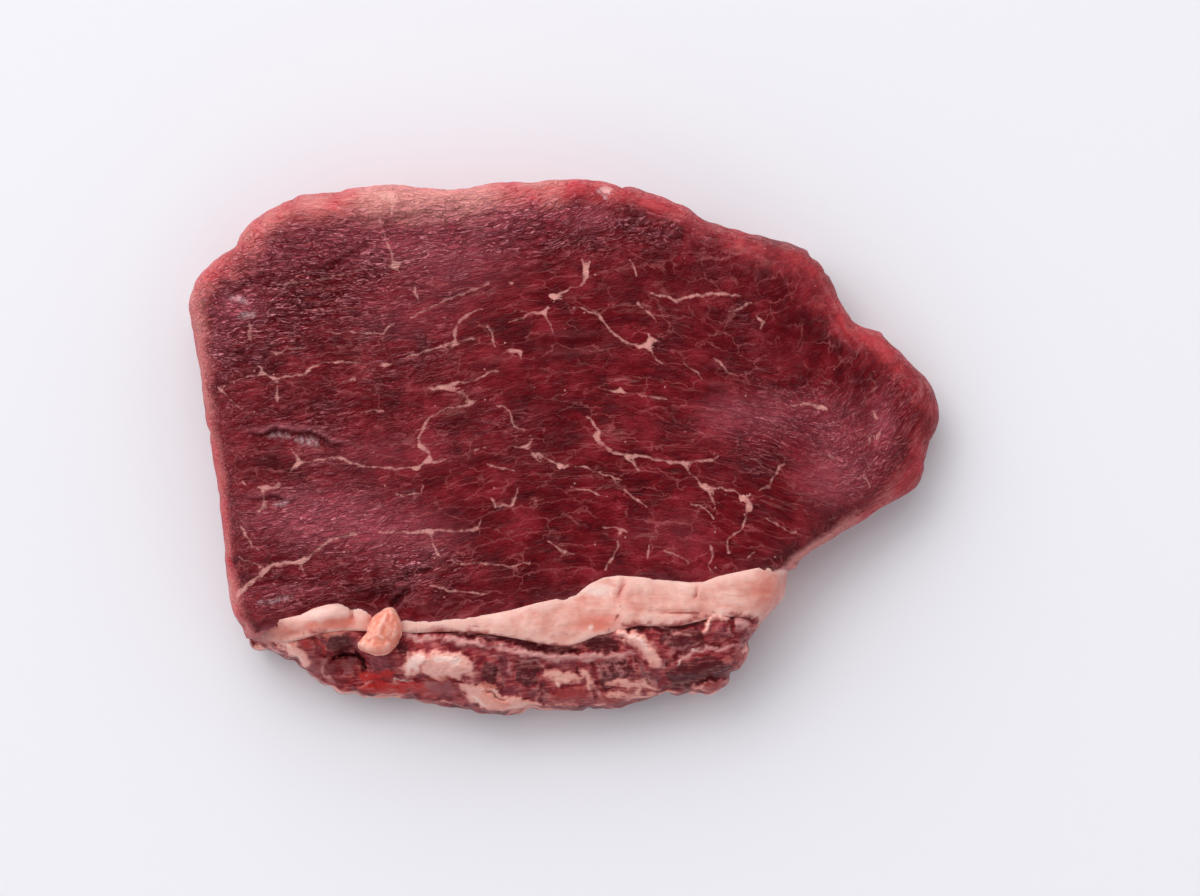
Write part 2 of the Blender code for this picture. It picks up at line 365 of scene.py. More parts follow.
def takeSolid(nodeName, pieceName, voxel, smoothing):
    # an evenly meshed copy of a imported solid, as a new piece
    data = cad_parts[nodeName].data.copy()
    data.materials.clear()
    piece = bpy.data.objects.new(pieceName, data)
    bpy.context.scene.collection.objects.link(piece)
    bpy.ops.object.select_all(action="DESELECT")
    piece.select_set(True)
    bpy.context.view_layer.objects.active = piece
    bpy.ops.object.mode_set(mode="EDIT")
    bpy.ops.mesh.select_all(action="SELECT")
    bpy.ops.mesh.remove_doubles(threshold=0.00001)
    bpy.ops.mesh.normals_make_consistent(inside=False)
    bpy.ops.object.mode_set(mode="OBJECT")
    remesh = piece.modifiers.new("even skin", "REMESH")
    remesh.mode = "VOXEL"
    remesh.voxel_size = voxel * mm
    remesh.use_smooth_shade = True
    bpy.ops.object.modifier_apply(modifier=remesh.name)
    bpy.ops.object.mode_set(mode="EDIT")
    bpy.ops.mesh.select_all(action="SELECT")
    bpy.ops.mesh.vertices_smooth(factor=0.5, repeat=smoothing)
    bpy.ops.object.mode_set(mode="OBJECT")
    return piece


def refineTop(piece, lowest):
    # cuts each upward face in four, so that the cut face of the meat carries fine relief
    mesh = piece.data
    heights = np.empty(len(mesh.polygons) * 3)
    mesh.polygons.foreach_get("center", heights)
    normals = np.empty(len(mesh.polygons) * 3)
    mesh.polygons.foreach_get("normal", normals)
    upper = (normals[2::3] > 0.35) & (heights[2::3] > lowest * mm)
    bpy.ops.object.mode_set(mode="EDIT")
    bpy.ops.mesh.select_all(action="DESELECT")
    bpy.ops.object.mode_set(mode="OBJECT")
    mesh.polygons.foreach_set("select", upper)
    bpy.ops.object.mode_set(mode="EDIT")
    bpy.ops.mesh.select_mode(type="FACE")
    bpy.ops.mesh.subdivide(number_cuts=1, smoothness=0.0)
    bpy.ops.mesh.select_all(action="DESELECT")
    bpy.ops.object.mode_set(mode="OBJECT")


def knitTo(piece, neighbours, overlap):
    # pushes the walls between pieces into each other, so that they look grown together,
    # and returns how near each point is to a neighbour, from 0 to 1
    points, normals = readPoints(piece)
    near = np.zeros(len(points))
    for name in neighbours:
        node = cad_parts[name].data
        tree = BVHTree.FromPolygons([v.co for v in node.vertices], [p.vertices for p in node.polygons])
        for index, point in enumerate(points):
            place, normal, face, distance = tree.find_nearest(point * mm, 1.6 * mm)
            if place is None:
                continue
            towards = Vector((place.x / mm - point[0], place.y / mm - point[1]))
            gap = towards.length
            share = min(max((1.5 - distance / mm) / 0.8, 0.0), 1.0)
            near[index] = max(near[index], share)
            if gap > 0.02:
                points[index, 0] += towards.x * share * (gap + overlap) / gap
                points[index, 1] += towards.y * share * (gap + overlap) / gap
    writePoints(piece, points)
    return near


def finishPiece(piece, material, node):
    piece.data.materials.append(material)
    piece.data.shade_smooth()
    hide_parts(node)
    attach(piece, "root")
    print(piece.name, "has", len(piece.data.polygons), "faces")


rim = rimLine()

# Which way the muscle fibres run, in degrees from the steak's length: (x, y, turn)
fibreMarks = [
    (-78, 34, 20), (-60, 48, 12), (-45, 30, 14), (-70, 5, 4), (-65, -15, 6), (-68, -34, 8), (-40, 55, 24),
    (-22, 52, 42), (-8, 58, 55), (5, 58, 60), (-20, 38, 24), (-30, 12, 10), (-35, -12, 4), (-40, -32, 14),
    (0, 30, -4), (10, 12, -8), (25, 52, 28), (45, 42, 34), (30, 30, -8), (0, -10, -14), (-12, -30, 6),
    (22, -8, -24), (38, -16, -40), (20, -24, -22), (48, -14, -58), (55, 10, -12), (62, 28, 50),
    (72, 0, 60), (82, 6, 75), (58, -14, -50), (-12, -50, -6), (20, -52, -18), (-50, -50, -20), (36, -50, 12),
]
fibreMaps, mapSide, mapCells = grainMaps(fibreMarks)


def grainAt(x, y):
    return [readMap(values, mapSide, mapCells, x, y) for values in fibreMaps]


# The big muscle

mainMuscle = {
    "voxel": 0.93,
    "smoothing": 7,
    "swell": 0.45,           # height of the broad unevenness of the cut
    "fold": 0.34,            # depth of the folds between bundles of fibres
    "ripple": 0.12,          # height of the fine ripples inside a fold
    "grow": 0.05,            # what the even meshing took off the outline
    "overhang": 0.85,        # how far the wall swells out under the rim
    "sideLumps": 0.55,
    "rimLumps": 0.28,
    "marbling": 0.47,        # share of each marbling line's width that is solid fat
}

# Marbling: (width, points along the line)
veins = [
    (0.7, (-45.5, 58), (-40.5, 44), (-39, 42)),
    (1.2, (-75, 30.5), (-75, 26)),
    (0.5, (-71, 39), (-64, 39.5), (-40.5, 44)),
    (0.6, (-40.5, 44), (-35, 46), (-30.5, 49)),
    (0.7, (-36, 39), (-35, 35)),
    (0.6, (-42, 29.5), (-32, 33.5), (-27.5, 36), (-19, 39), (-17, 40.5)),
    (0.7, (-17, 34), (-21.5, 33), (-24.5, 31), (-26, 29), (-26.5, 25.5), (-34.5, 23), (-42.5, 20)),
    (1.0, (-42.5, 20), (-53.5, 21), (-58.5, 20.5), (-62, 18), (-69, 17)),
    (0.7, (-69, 17), (-72, 18), (-72.5, 19.5), (-74.5, 20.5)),
    (1.4, (-68.5, 15), (-68.5, 11.5)),
    (0.6, (-59.5, 27.5), (-51.5, 28), (-43.5, 27.5), (-42, 29.5)),
    (2.4, (-3, 36.5), (-2.5, 36.5)),
    (0.7, (-3, 36.5), (4.5, 39.5), (5, 42.5), (3, 47)),
    (0.5, (6, 45), (5, 42.5)),
    (0.7, (-3, 36.5), (7.5, 32), (12, 27), (17, 24.5), (19.5, 24.5), (26.5, 16)),
    (0.7, (-3.5, 34), (-5, 32.5), (-8.5, 32.5), (-10.5, 31), (-15.5, 30)),
    (0.5, (-5, 32.5), (-2.5, 26.5)),
    (1.9, (-13.5, 39.5), (-12.5, 39.5)),
    (1.4, (-13.5, 23.5), (-11, 23.5), (-10.5, 21.5)),
    (0.7, (-19, 30), (-17.5, 28), (-16.5, 23.5)),
    (0.7, (15, 46), (16.5, 43.5), (17, 40.5)),
    (1.2, (20, 37.5), (26.5, 35.5), (29, 36.5), (37.5, 37), (42, 36.5)),
    (0.5, (16.5, 36), (18.5, 33.5), (23.5, 28.5)),
    (1.0, (18, 24.5), (20, 26), (22.5, 25.5)),
    (0.7, (19.5, 27.5), (20, 24.5)),
    (0.7, (45, 32.5), (47, 30.5), (46.5, 28)),
    (0.5, (45.5, 35.5), (37.5, 32)),
    (0.7, (34.5, 22.5), (36.5, 21), (38.5, 18.5), (40, 18)),
    (1.2, (-65.5, 0.5), (-63.5, -2), (-63.5, -3), (-65.5, -5.5)),
    (0.6, (-63.5, -3), (-60.5, -3), (-57, -2), (-53.5, -2)),
    (0.8, (-53.5, -2), (-48.5, -4), (-35.5, -4.5)),
    (1.0, (-35.5, -4.5), (-33, -3), (-32.5, -0.5), (-34.5, 1)),
    (0.7, (-34.5, 1), (-35, 3), (-32, 8), (-29, 9.5), (-21, 11)),
    (0.7, (-33, -3), (-28, -2.5)),
    (1.0, (-77, -7.5), (-76, -8.5)),
    (1.0, (-73.5, -8.5), (-71.5, -9), (-68, -8.5), (-68, -7.5)),
    (1.0, (-71.5, -9), (-71.5, -13.5), (-73.5, -15)),
    (0.5, (-81.5, 15), (-77, 17), (-72, 18)),
    (0.5, (-83, 15), (-78, 10.5), (-76, 9.5)),
    (0.5, (-54, 16), (-49, 17)),
    (1.2, (-47, 14.5), (-46.5, 14.5)),
    (2.2, (-79, -38), (-79, -35.5), (-78, -34), (-74.5, -31.5)),
    (1.7, (-74.5, -31.5), (-69.5, -27), (-66, -27)),
    (1.2, (-66, -27), (-62.5, -26.5), (-56, -21.5), (-51, -20)),
    (0.8, (-51, -20), (-22, -19), (-20.5, -18.5), (-20, -16)),
    (0.7, (-32.5, -19.5), (-30.5, -24.5)),
    (0.6, (-30.5, -24.5), (-26, -27), (-18, -27), (-13.5, -28), (-10, -27), (-5.5, -27)),
    (0.5, (-62.5, -26.5), (-62.5, -29), (-61, -31.5)),
    (0.5, (-79, -25), (-72, -28)),
    (0.7, (-78, -18), (-76.5, -19), (-74.5, -23), (-72, -24)),
    (0.5, (-54.5, -32), (-51.5, -33)),
    (0.7, (-33.5, -32), (-27.5, -33.5), (-15.5, -34.5)),
    (0.6, (-35.5, 15), (-32, 14.5), (-23.5, 16), (-17, 18.5), (-14.5, 19)),
    (0.5, (-29.5, 15), (-24.5, 13.5), (-22.5, 11.5)),
    (0.7, (-17, 10.5), (-15, 10.5), (-13.5, 9), (-12, 5.5), (-8, 3.5)),
    (0.7, (-13, 1), (-9.5, 0.5), (-8, 2)),
    (0.5, (-8.5, 0), (-6, -3)),
    (1.4, (-1.5, -4), (-1, -4)),
    (0.5, (-6.5, -1), (-1, -4)),
    (1.2, (-18, -11.5), (-16.5, -13.5), (-12.5, -13), (-11.5, -9)),
    (0.5, (-8, -12.5), (-4.5, -11.5)),
    (0.5, (-22.5, -0.5), (-18, 1)),
    (0.5, (-20.5, -3), (-10.5, -5.5)),
    (0.6, (-42.5, -11), (-34.5, -10.5), (-33.5, -7.5)),
    (1.2, (5, 8), (8, 4.5), (7, 3)),
    (1.0, (7, 3), (11.5, -1)),
    (1.2, (11.5, -1), (18, -1.5), (25.5, -3), (27.5, -3)),
    (0.5, (14.5, -2), (16.5, -3.5), (18, -6)),
    (0.7, (29, -3), (35, -2.5), (36.5, -1.5)),
    (1.0, (28, -3.5), (32, -8), (33.5, -9), (40, -9.5), (42, -11.5)),
    (2.2, (42, -11.5), (42.5, -11.5)),
    (1.2, (42.5, -11.5), (43.5, -12), (44, -14)),
    (0.6, (33.5, -9), (36, -14)),
    (0.6, (43.5, -14), (42, -19), (38.5, -21), (39, -27.5)),
    (0.6, (44, -10.5), (48.5, -8.5), (51, -4), (53, -3)),
    (0.6, (47, -15.5), (48.5, -17), (53.5, -19.5), (56, -19.5)),
    (0.6, (6, 15), (10.5, 14), (21, 12.5), (26.5, 12)),
    (1.4, (12.5, 14), (13, 14)),
    (0.6, (0, -9), (4.5, -9.5), (12, -12)),
    (0.5, (0, -4), (4, -4), (9, -6), (13.5, -7)),
    (0.5, (12, -8), (21, -15)),
    (0.5, (7, -18.5), (12, -18.5), (15.5, -20)),
    (0.5, (19.5, -22.5), (19.5, -27)),
    (0.5, (21, -23), (27.5, -25.5), (30.5, -28)),
    (0.6, (34, -20.5), (35, -25.5), (34, -27.5), (36.5, -30.5)),
    (0.5, (43, -26), (45.5, -24)),
    (6.4, (-44.6, 61.4), (-40.6, 60.4)),
    (4.6, (8.2, 62.6), (11.4, 62.4)),
    (1.6, (-40.6, 60), (-41.4, 56)),
    (1.5, (73.4, 9.2), (74.6, 7.0)),
    (0.9, (75.6, 5.0), (74.4, 2.6)),
    (0.8, (73.0, 3.6), (72.2, 1.0)),
    (0.9, (60.2, 10.6), (61.6, 9.8)),
    (0.7, (62.4, -1.0), (64.0, -2.2)),
    (0.5, (71.4, -6.0), (73.0, -10.0)),
    (0.8, (52.0, 10.4), (58.0, 10.8), (62.0, 9.8)),
    (0.5, (26.0, 22.0), (30.0, 19.5), (34.0, 15.5)),
    (0.5, (8.0, -31.0), (12.0, -24.0), (13.0, -20.0)),
    (0.5, (-6.0, -20.0), (-1.0, -24.0), (4.0, -25.0)),
    (0.5, (-30.0, 22.0), (-24.0, 26.0), (-20.0, 26.4)),
    (0.5, (-64.0, 34.0), (-60.0, 33.0), (-56.0, 33.6)),
    (0.6, (-70.0, 22.0), (-66.0, 24.0), (-60.0, 24.2)),
    (0.5, (28.0, -12.0), (33.0, -14.0), (37.0, -18.0)),
    (0.5, (-50.0, 8.0), (-46.0, 9.4), (-42.0, 9.0)),
]

# Width of the light red rim, seen from above, round the outline: (x, y, width)
rimWidths = [
    (-89, 30, 4.0), (-86, 5, 2.4), (-82, -20, 2.2), (-79, -38, 2.8), (-80, 47, 6.5), (-68, 57, 6.5),
    (-50, 61, 7.0), (-42, 61, 9.0), (-25, 61, 7.5), (-8, 63, 7.0), (8, 62, 4.5), (22, 59, 3.5),
    (36, 53, 4.5), (52, 48, 7.0), (61, 42, 5.5), (66, 33, 5.0), (78, 24, 5.0), (88, 8, 7.0),
    (84, -6, 4.5), (70, -17, 2.2), (56, -25, 1.8),
]

# Colour of the rim round the outline, from 0 for deep red to 1 for pale salmon: (x, y, tint)
rimTints = [
    (-88, 30, 0.70), (-86, 5, 0.64), (-82, -20, 0.60), (-79, -38, 0.75), (-82, 44, 0.66), (-68, 57, 0.72),
    (-56, 61, 0.76), (-44, 62, 1.10), (-25, 62, 1.00), (-8, 63, 0.74), (8, 62, 0.50), (22, 59, 0.36),
    (36, 53, 0.18), (52, 48, 0.02), (61, 42, 0.12), (66, 33, 0.34), (76, 25, 0.34), (88, 8, 0.14),
    (84, -6, 0.32), (76, -13, 0.60), (66, -19, 0.85), (56, -25, 1.10),
]

# Painted sheen: paler, greyer places where the wet surface catches the soft light: (x, y, reach along x,
# reach along y, amount)
paintedSheenMarks = [
    (-59, -16, 15, 6, 1.0), (-38, -21, 14, 7, 0.45), (-46, 50, 22, 6, 0.55), (-26, 46, 14, 8, 0.45),
    (-14, 56, 14, 4, 0.55), (-77, 34, 6, 4, 0.9), (-82, 28, 3, 6, 0.4), (-64, -34, 10, 1.8, 0.6),
    (50, 9, 14, 6, 0.42), (66, 2, 9, 9, 0.42), (64, -8, 9, 6, 0.5), (76, 6, 3, 7, 0.6), (38, 8, 6, 5, 0.35),
    (-44, -1, 20, 5, 0.25), (-40, 32, 16, 6, 0.3), (6, 55, 6, 3, 0.5), (28, -20, 16, 6, 0.2),
    (-70, 44, 8, 5, 0.4),
]

# Deeper wine-red places
darkMarks = [
    (0, 24, 12, 4, 0.8), (30, 42, 18, 6, 0.6), (45, 25, 14, 8, 0.5), (12, 37, 8, 5, 0.4), (-5, 0, 8, 12, 0.5),
    (-10, -31, 14, 5, 0.6), (-70, 8, 8, 4, 0.5), (-64, -37, 12, 2.5, 0.6), (-39, -35, 3, 2, 1.0),
    (-60, 33, 12, 3, 0.2), (-66, 41, 14, 2.5, 0.2), (58, 24, 8, 5, 0.4), (-60, 14, 6, 3, 0.4),
    (46, -18, 10, 5, 0.3), (-30, -36, 20, 2.5, 0.5),
]

# Where the cut face is drawn up into close wrinkles
wrinkleMarks = [
    (-50, 46, 26, 13, 0.9), (-12, 54, 22, 9, 0.9), (-72, 32, 14, 12, 0.9), (-60, -16, 20, 9, 0.9),
    (-66, -34, 12, 5, 0.8), (-36, -28, 14, 7, 0.8), (-62, 5, 16, 8, 0.5), (-40, 22, 16, 8, 0.4),
    (52, 6, 20, 12, 0.5), (70, -6, 10, 10, 0.4), (20, 52, 14, 5, 0.5), (-20, 5, 24, 10, 0.25),
    (-76, 46, 12, 10, 0.6), (-84, 20, 6, 30, 0.4), (-24, 60, 20, 4, 0.4), (40, 36, 20, 14, 0.15),
    (80, 8, 8, 12, 0.3),
]

# Silvery film: (width, points)
filmLines = [
    (0.9, (-70.4, 3.0), (-68, 3.6), (-65.4, 3.0)), (1.4, (-64.4, 2.4), (-61, 2.2), (-58.8, 0.9)),
    (1.2, (-79.8, 36.4), (-75.6, 35.0)), (0.9, (-77.6, 31.6), (-73.4, 32.2)),
    (0.7, (-73.2, -36.4), (-65.0, -35.2)),
    (0.7, (-69.6, -13.2), (-66.0, -12.6)), (4.2, (8.2, 62.0), (10.6, 62.0)),
]

# Creases: (width, depth, points)
creases = [
    (2.2, 1.0, (-56, 43.5), (-52, 46), (-47, 48.5)),
    (2.0, 0.7, (-40, 54.5), (-36, 56), (-32.5, 56.5)),
    (1.6, 1.6, (-41, -36.9), (-39.5, -35.2), (-37.6, -33.8)),
    (1.2, 0.8, (-37.5, -29.8), (-32, -28.5)),
    (3.0, 0.6, (-4, 25.5), (2, 25), (8, 25.5)),
    (2.2, 0.6, (-70, -11.5), (-67.5, -11.8)),
    (3.0, 0.7, (35, 18), (38, 17.5)),
    (1.4, 0.7, (64.5, 31.5), (67, 27.5), (69, 25)),
    (1.6, 0.5, (-81, 42.5), (-77, 45.5)),
    (1.8, 0.5, (-80, 36), (-76, 39), (-72, 41.5)),
    (1.4, 0.45, (-75, -32.5), (-71, -31.5), (-64.5, -31)),
]

# A lip of meat that hangs over a small step: the surface drops below the line
lips = [
    (3.6, 1.5, (-71.5, 4.0), (-69, 5.2), (-65, 4.4), (-60.5, 4.2), (-57.5, 3.0), (-55.5, 1.4)),
    (2.6, 0.7, (-72.0, -11.4), (-69.0, -10.8), (-66.0, -12.0)),
]

# Nicks and bays of the outline: (x, y, reach, how far in)
nicks = [
    (-79.7, 49.0, 1.8, 1.0), (-88.9, 28.2, 1.2, 0.7), (-86.0, 4.2, 1.0, 0.5), (-82.4, -11.2, 1.0, 0.5),
    (-65.9, 60.2, 1.0, 0.5), (62.6, 42.6, 0.8, 0.5), (68.6, 29.6, 1.6, 0.6), (59.0, 46.0, 1.0, 0.4),
    (-77.2, -42.4, 1.0, 0.7), (13.4, 63.0, 0.9, 0.6), (6.4, 64.2, 0.7, 0.4), (-48.0, 62.6, 1.4, 0.3),
    (87.0, 2.0, 1.6, 0.5), (85.8, -3.0, 1.4, 0.4), (75.6, 27.9, 1.0, -0.6), (58.0, 48.2, 1.2, -0.5),
]


def shapeMainMuscle(piece, s):
    points, normals = readPoints(piece)
    x, y, z = points.T
    up = ease(normals[:, 2], 0.15, 0.75)
    side = 1 - ease(np.abs(normals[:, 2]), 0.2, 0.85)
    along, across = grainAt(x, y)
    wrinkle = np.clip(patches(x, y, wrinkleMarks) + 0.05 + 0.14 * lumps(x, y, 9, 12), 0.03, 1)
    rimX, rimY, fromRim, half, others = nearestLine(x, y, [rim])

    drop = np.zeros_like(x)
    drop -= s["swell"] * (lumps(x, y, 24, 1) + 0.5 * lumps(x, y, 10, 2))
    bundles = lumps(along / 3.2, across, 2.6, 3) + 0.5 * lumps(along / 2.2, across, 1.5, 4)
    drop += s["fold"] * wrinkle * np.exp(-(bundles / 0.2) ** 2)
    drop -= s["ripple"] * (0.4 + wrinkle) * lumps(along / 2.6, across, 1.0, 5)
    for width, depth, *line in creases:
        awayX, awayY, away, half, others = nearestLine(x, y, [(width, *line)])
        drop += depth * np.exp(-(away / (width / 2)) ** 2)
    for width, depth, *line in lips:
        awayX, awayY, away, half, others = nearestLine(x, y, [(width, *line)])
        below = ease(-awayY, -0.25, 0.25)
        drop += depth * below * np.exp(-(away / width) ** 2) - 0.35 * (1 - below) * np.exp(-(away / 1.6) ** 2)
    z -= up * drop

    share = z / edgeHeights(points, normals)
    swollen = np.exp(-((share - 0.66) / 0.28) ** 2)
    bulge = s["grow"] + s["overhang"] * swollen - 0.35 * (1 - ease(share, 0.05, 0.4))
    bulge += s["sideLumps"] * (lumps(x + z, y - z, 13, 6) + 0.4 * lumps(x - z, y + z, 5, 7))
    bulge += 0.14 * lumps(x + y, 1.6 * z, 2.2, 11)
    bulge += s["rimLumps"] * lumps(x, y, 3.2, 8) * ease(z, 6, 14)
    points[:, :2] += normals[:, :2] * (side * bulge)[:, None]
    dentOutline(points, normals, side, nicks)
    z[:] = np.maximum(z, 0.0)
    writePoints(piece, points)

    wide = blend(x, y, rimWidths, 4.0)
    ragged = 0.16 * lumps(along / 2.4, across, 2.2, 9) + 0.2 * lumps(x, y, 7, 10)
    rimTone = np.clip(1.1 - 0.8 * fromRim / wide + ragged, 0, 1)
    swayX = x + 0.4 * lumps(x, y, 2.6, 16) + 0.2 * lumps(x, y, 1.2, 20)
    swayY = y + 0.4 * lumps(x, y, 2.6, 17) + 0.2 * lumps(x, y, 1.2, 21)
    veinX, veinY, veinAway, veinHalf, veinWeb = nearestLine(swayX, swayY, veins, tapered=True)
    cutFace = ease(np.abs(normals[:, 2]), 0.3, 0.6)
    paint(piece, "vein", np.stack([veinX, veinY, veinAway], 1))
    paint(piece, "veinHalf", (veinHalf * s["marbling"] + 0.45 * veinWeb) * cutFace)
    paint(piece, "grain", np.stack([along, across, z * 1.6], 1))
    paint(piece, "rim", np.maximum(rimTone, (1 - cutFace) * (0.6 + 0.4 * ease(share, 0.2, 0.75))))
    paint(piece, "rimTint", blend(x, y, rimTints, 3.0) * (0.25 + 0.75 * ease(share, 0.15, 0.8)))
    # painted sheen lightens the tone; deeper wine-red places darken it
    paint(piece, "sheenAndDeepTone", np.clip(patches(x, y, paintedSheenMarks), 0, 1) - np.clip(patches(x, y, darkMarks), 0, 1))
    paint(piece, "wrinkle", wrinkle * cutFace + 0.55 * (1 - cutFace))
    paint(piece, "film", strokes(swayX, swayY, filmLines, 1.2) * cutFace)
    paint(piece, "blotch", lumps(x, y, 8, 18) + 0.7 * lumps(x, y, 3.6, 19))
    paintReliefShading(piece, 10, 0.42)


# Lean beef: wet, dark wine-red fibres in fine bundles under a film of juice, with painted glints on the
# ridges and painted shade in the grooves and hollows
leanLook = {
    "deep": "#46030B",
    "mid": "#660913",
    "light": "#88202A",
    # painted sheen colour, where the wet surface reflects the light
    "sheen": "#B4505E",
    "rimDark": "#741519",
    "rimMid": "#C03A40",
    "rimPale": "#E4958D",
    "skin": "#C4706F",
    "fat": "#DE9A92",
    # painted highlight colour for the wrinkle ridges and crests
    "ridgeHighlight": "#E68E98",
    "silver": "#D6B0B4",
    # painted shade colour for the grooves and hollows
    "dark": "#4C0714",
    "grooveLong": (0.15, 0.80, 0.35),    # how fast the long wrinkles change along, across and down, per mm
    "grooveFine": (0.34, 1.60, 0.60),
    "fibre": (0.30, 2.3, 1.0),
    "streak": (0.10, 0.45, 0.3),
    "bundle": (0.3, 0.85, 0.4),
    "grit": (1.1, 2.6, 1.8),
    "thread": (0.03, 0.3, 0.2),
    "net": (0.12, 0.27, 0.2),
    "pleat": (1.5, 0.35, 0.5),           # the folds across the silvery film
}


def leanMaterial(look):
    material = bpy.data.materials.new("raw lean beef")
    material.use_nodes = True
    tree = material.node_tree
    shader = tree.nodes["Principled BSDF"]
    place = addNode(tree, "ShaderNodeTexCoord", {}).outputs["Object"]
    grain = addNode(tree, "ShaderNodeAttribute", {}, attribute_name="grain").outputs["Vector"]
    vein = addNode(tree, "ShaderNodeAttribute", {}, attribute_name="vein").outputs["Vector"]
    names = ("rim", "rimTint", "sheenAndDeepTone", "wrinkle", "hollowShade", "crestHighlight", "film", "blotch", "veinHalf")
    rimTone, rimTint, sheenAndDeepTone, wrinkle, hollowShade, crestHighlight, film, blotch, veinHalf = [
        addNode(tree, "ShaderNodeAttribute", {}, attribute_name=name).outputs["Fac"] for name in names]

    # the fibres waver
    sway = addNode(tree, "ShaderNodeTexNoise", {"Vector": grain, "Scale": 0.16,
                                                "Detail": 1.0}).outputs["Color"]
    sway = addNode(tree, "ShaderNodeVectorMath", {0: sway, 1: (4.0, 2.6, 0.0), 2: (-2.0, -1.3, 0.0)},
                   operation="MULTIPLY_ADD").outputs[0]
    bent = addNode(tree, "ShaderNodeVectorMath", {0: grain, 1: sway}, operation="ADD").outputs[0]

    # wrinkles: lines where a noise that is stretched along the fibres crosses its middle value; the band
    # beside each line carries a painted highlight
    grooves = []
    ridgeHighlights = []
    for size, width, detail in ((look["grooveLong"], 0.03, 1.4), (look["grooveFine"], 0.045, 0.6)):
        squeezed = addNode(tree, "ShaderNodeVectorMath", {0: bent, 1: size}, operation="MULTIPLY").outputs[0]
        noise = addNode(tree, "ShaderNodeTexNoise", {"Vector": squeezed, "Scale": 1.0,
                                                     "Detail": detail}).outputs["Fac"]
        middle = addNode(tree, "ShaderNodeMath", {0: noise, 1: 0.5}, operation="SUBTRACT").outputs[0]
        away = addNode(tree, "ShaderNodeMath", {0: middle}, operation="ABSOLUTE").outputs[0]
        grooves.append(addNode(tree, "ShaderNodeMapRange", {0: away, 1: 0.0, 2: width, 3: 1.0, 4: 0.0},
                               interpolation_type="SMOOTHSTEP").outputs[0])
        beside = addNode(tree, "ShaderNodeMath", {0: middle, 1: 1.7 * width, 2: 0.9 * width},
                         operation="COMPARE")
        ridgeHighlights.append(beside.outputs[0])
    wobble = addNode(tree, "ShaderNodeTexNoise", {"Vector": grain, "Scale": 0.8,
                                                  "Detail": 1.0}).outputs["Color"]
    wobble = addNode(tree, "ShaderNodeVectorMath", {0: wobble, 1: (3.4, 1.5, 0.0), 2: bent},
                     operation="MULTIPLY_ADD").outputs[0]
    bundlePlace = addNode(tree, "ShaderNodeVectorMath", {0: wobble, 1: look["bundle"]},
                          operation="MULTIPLY").outputs[0]
    edge = addNode(tree, "ShaderNodeTexVoronoi", {"Vector": bundlePlace, "Scale": 1.0},
                   feature="DISTANCE_TO_EDGE").outputs["Distance"]
    pillow = addNode(tree, "ShaderNodeMapRange", {0: edge, 1: 0.0, 2: 0.22},
                     interpolation_type="SMOOTHSTEP").outputs[0]
    crack = addNode(tree, "ShaderNodeMapRange", {0: edge, 1: 0.02, 2: 0.17, 3: 1.0, 4: 0.0},
                    interpolation_type="SMOOTHSTEP").outputs[0]
    cell = addNode(tree, "ShaderNodeTexVoronoi", {"Vector": bundlePlace, "Scale": 1.0}).outputs["Color"]
    cell = addNode(tree, "ShaderNodeSeparateColor", {0: cell}).outputs[0]

    squeezed = addNode(tree, "ShaderNodeVectorMath", {0: bent, 1: look["fibre"]},
                       operation="MULTIPLY").outputs[0]
    fibre = addNode(tree, "ShaderNodeTexNoise", {"Vector": squeezed, "Scale": 1.0,
                                                 "Detail": 2.0}).outputs["Fac"]
    squeezed = addNode(tree, "ShaderNodeVectorMath", {0: bent, 1: look["streak"]},
                       operation="MULTIPLY").outputs[0]
    streak = addNode(tree, "ShaderNodeTexNoise", {"Vector": squeezed, "Scale": 1.0,
                                                  "Detail": 3.0}).outputs["Fac"]
    mottle = addNode(tree, "ShaderNodeTexNoise", {"Vector": place, "Scale": 110.0, "Detail": 4.0,
                                                  "Roughness": 0.55}).outputs["Fac"]
    squeezed = addNode(tree, "ShaderNodeVectorMath", {0: bent, 1: look["grit"]},
                       operation="MULTIPLY").outputs[0]
    grit = addNode(tree, "ShaderNodeTexNoise", {"Vector": squeezed, "Scale": 1.0,
                                                "Detail": 1.0}).outputs["Fac"]

    # the cracks between bundles come and go
    where = addNode(tree, "ShaderNodeMapRange", {0: mottle, 1: 0.40, 2: 0.54}).outputs[0]
    crack = addNode(tree, "ShaderNodeMath", {0: crack, 1: where}, operation="MULTIPLY").outputs[0]
    grooves = [addNode(tree, "ShaderNodeMath", {0: crack, 1: grooves[0]}, operation="MAXIMUM").outputs[0],
               grooves[1]]

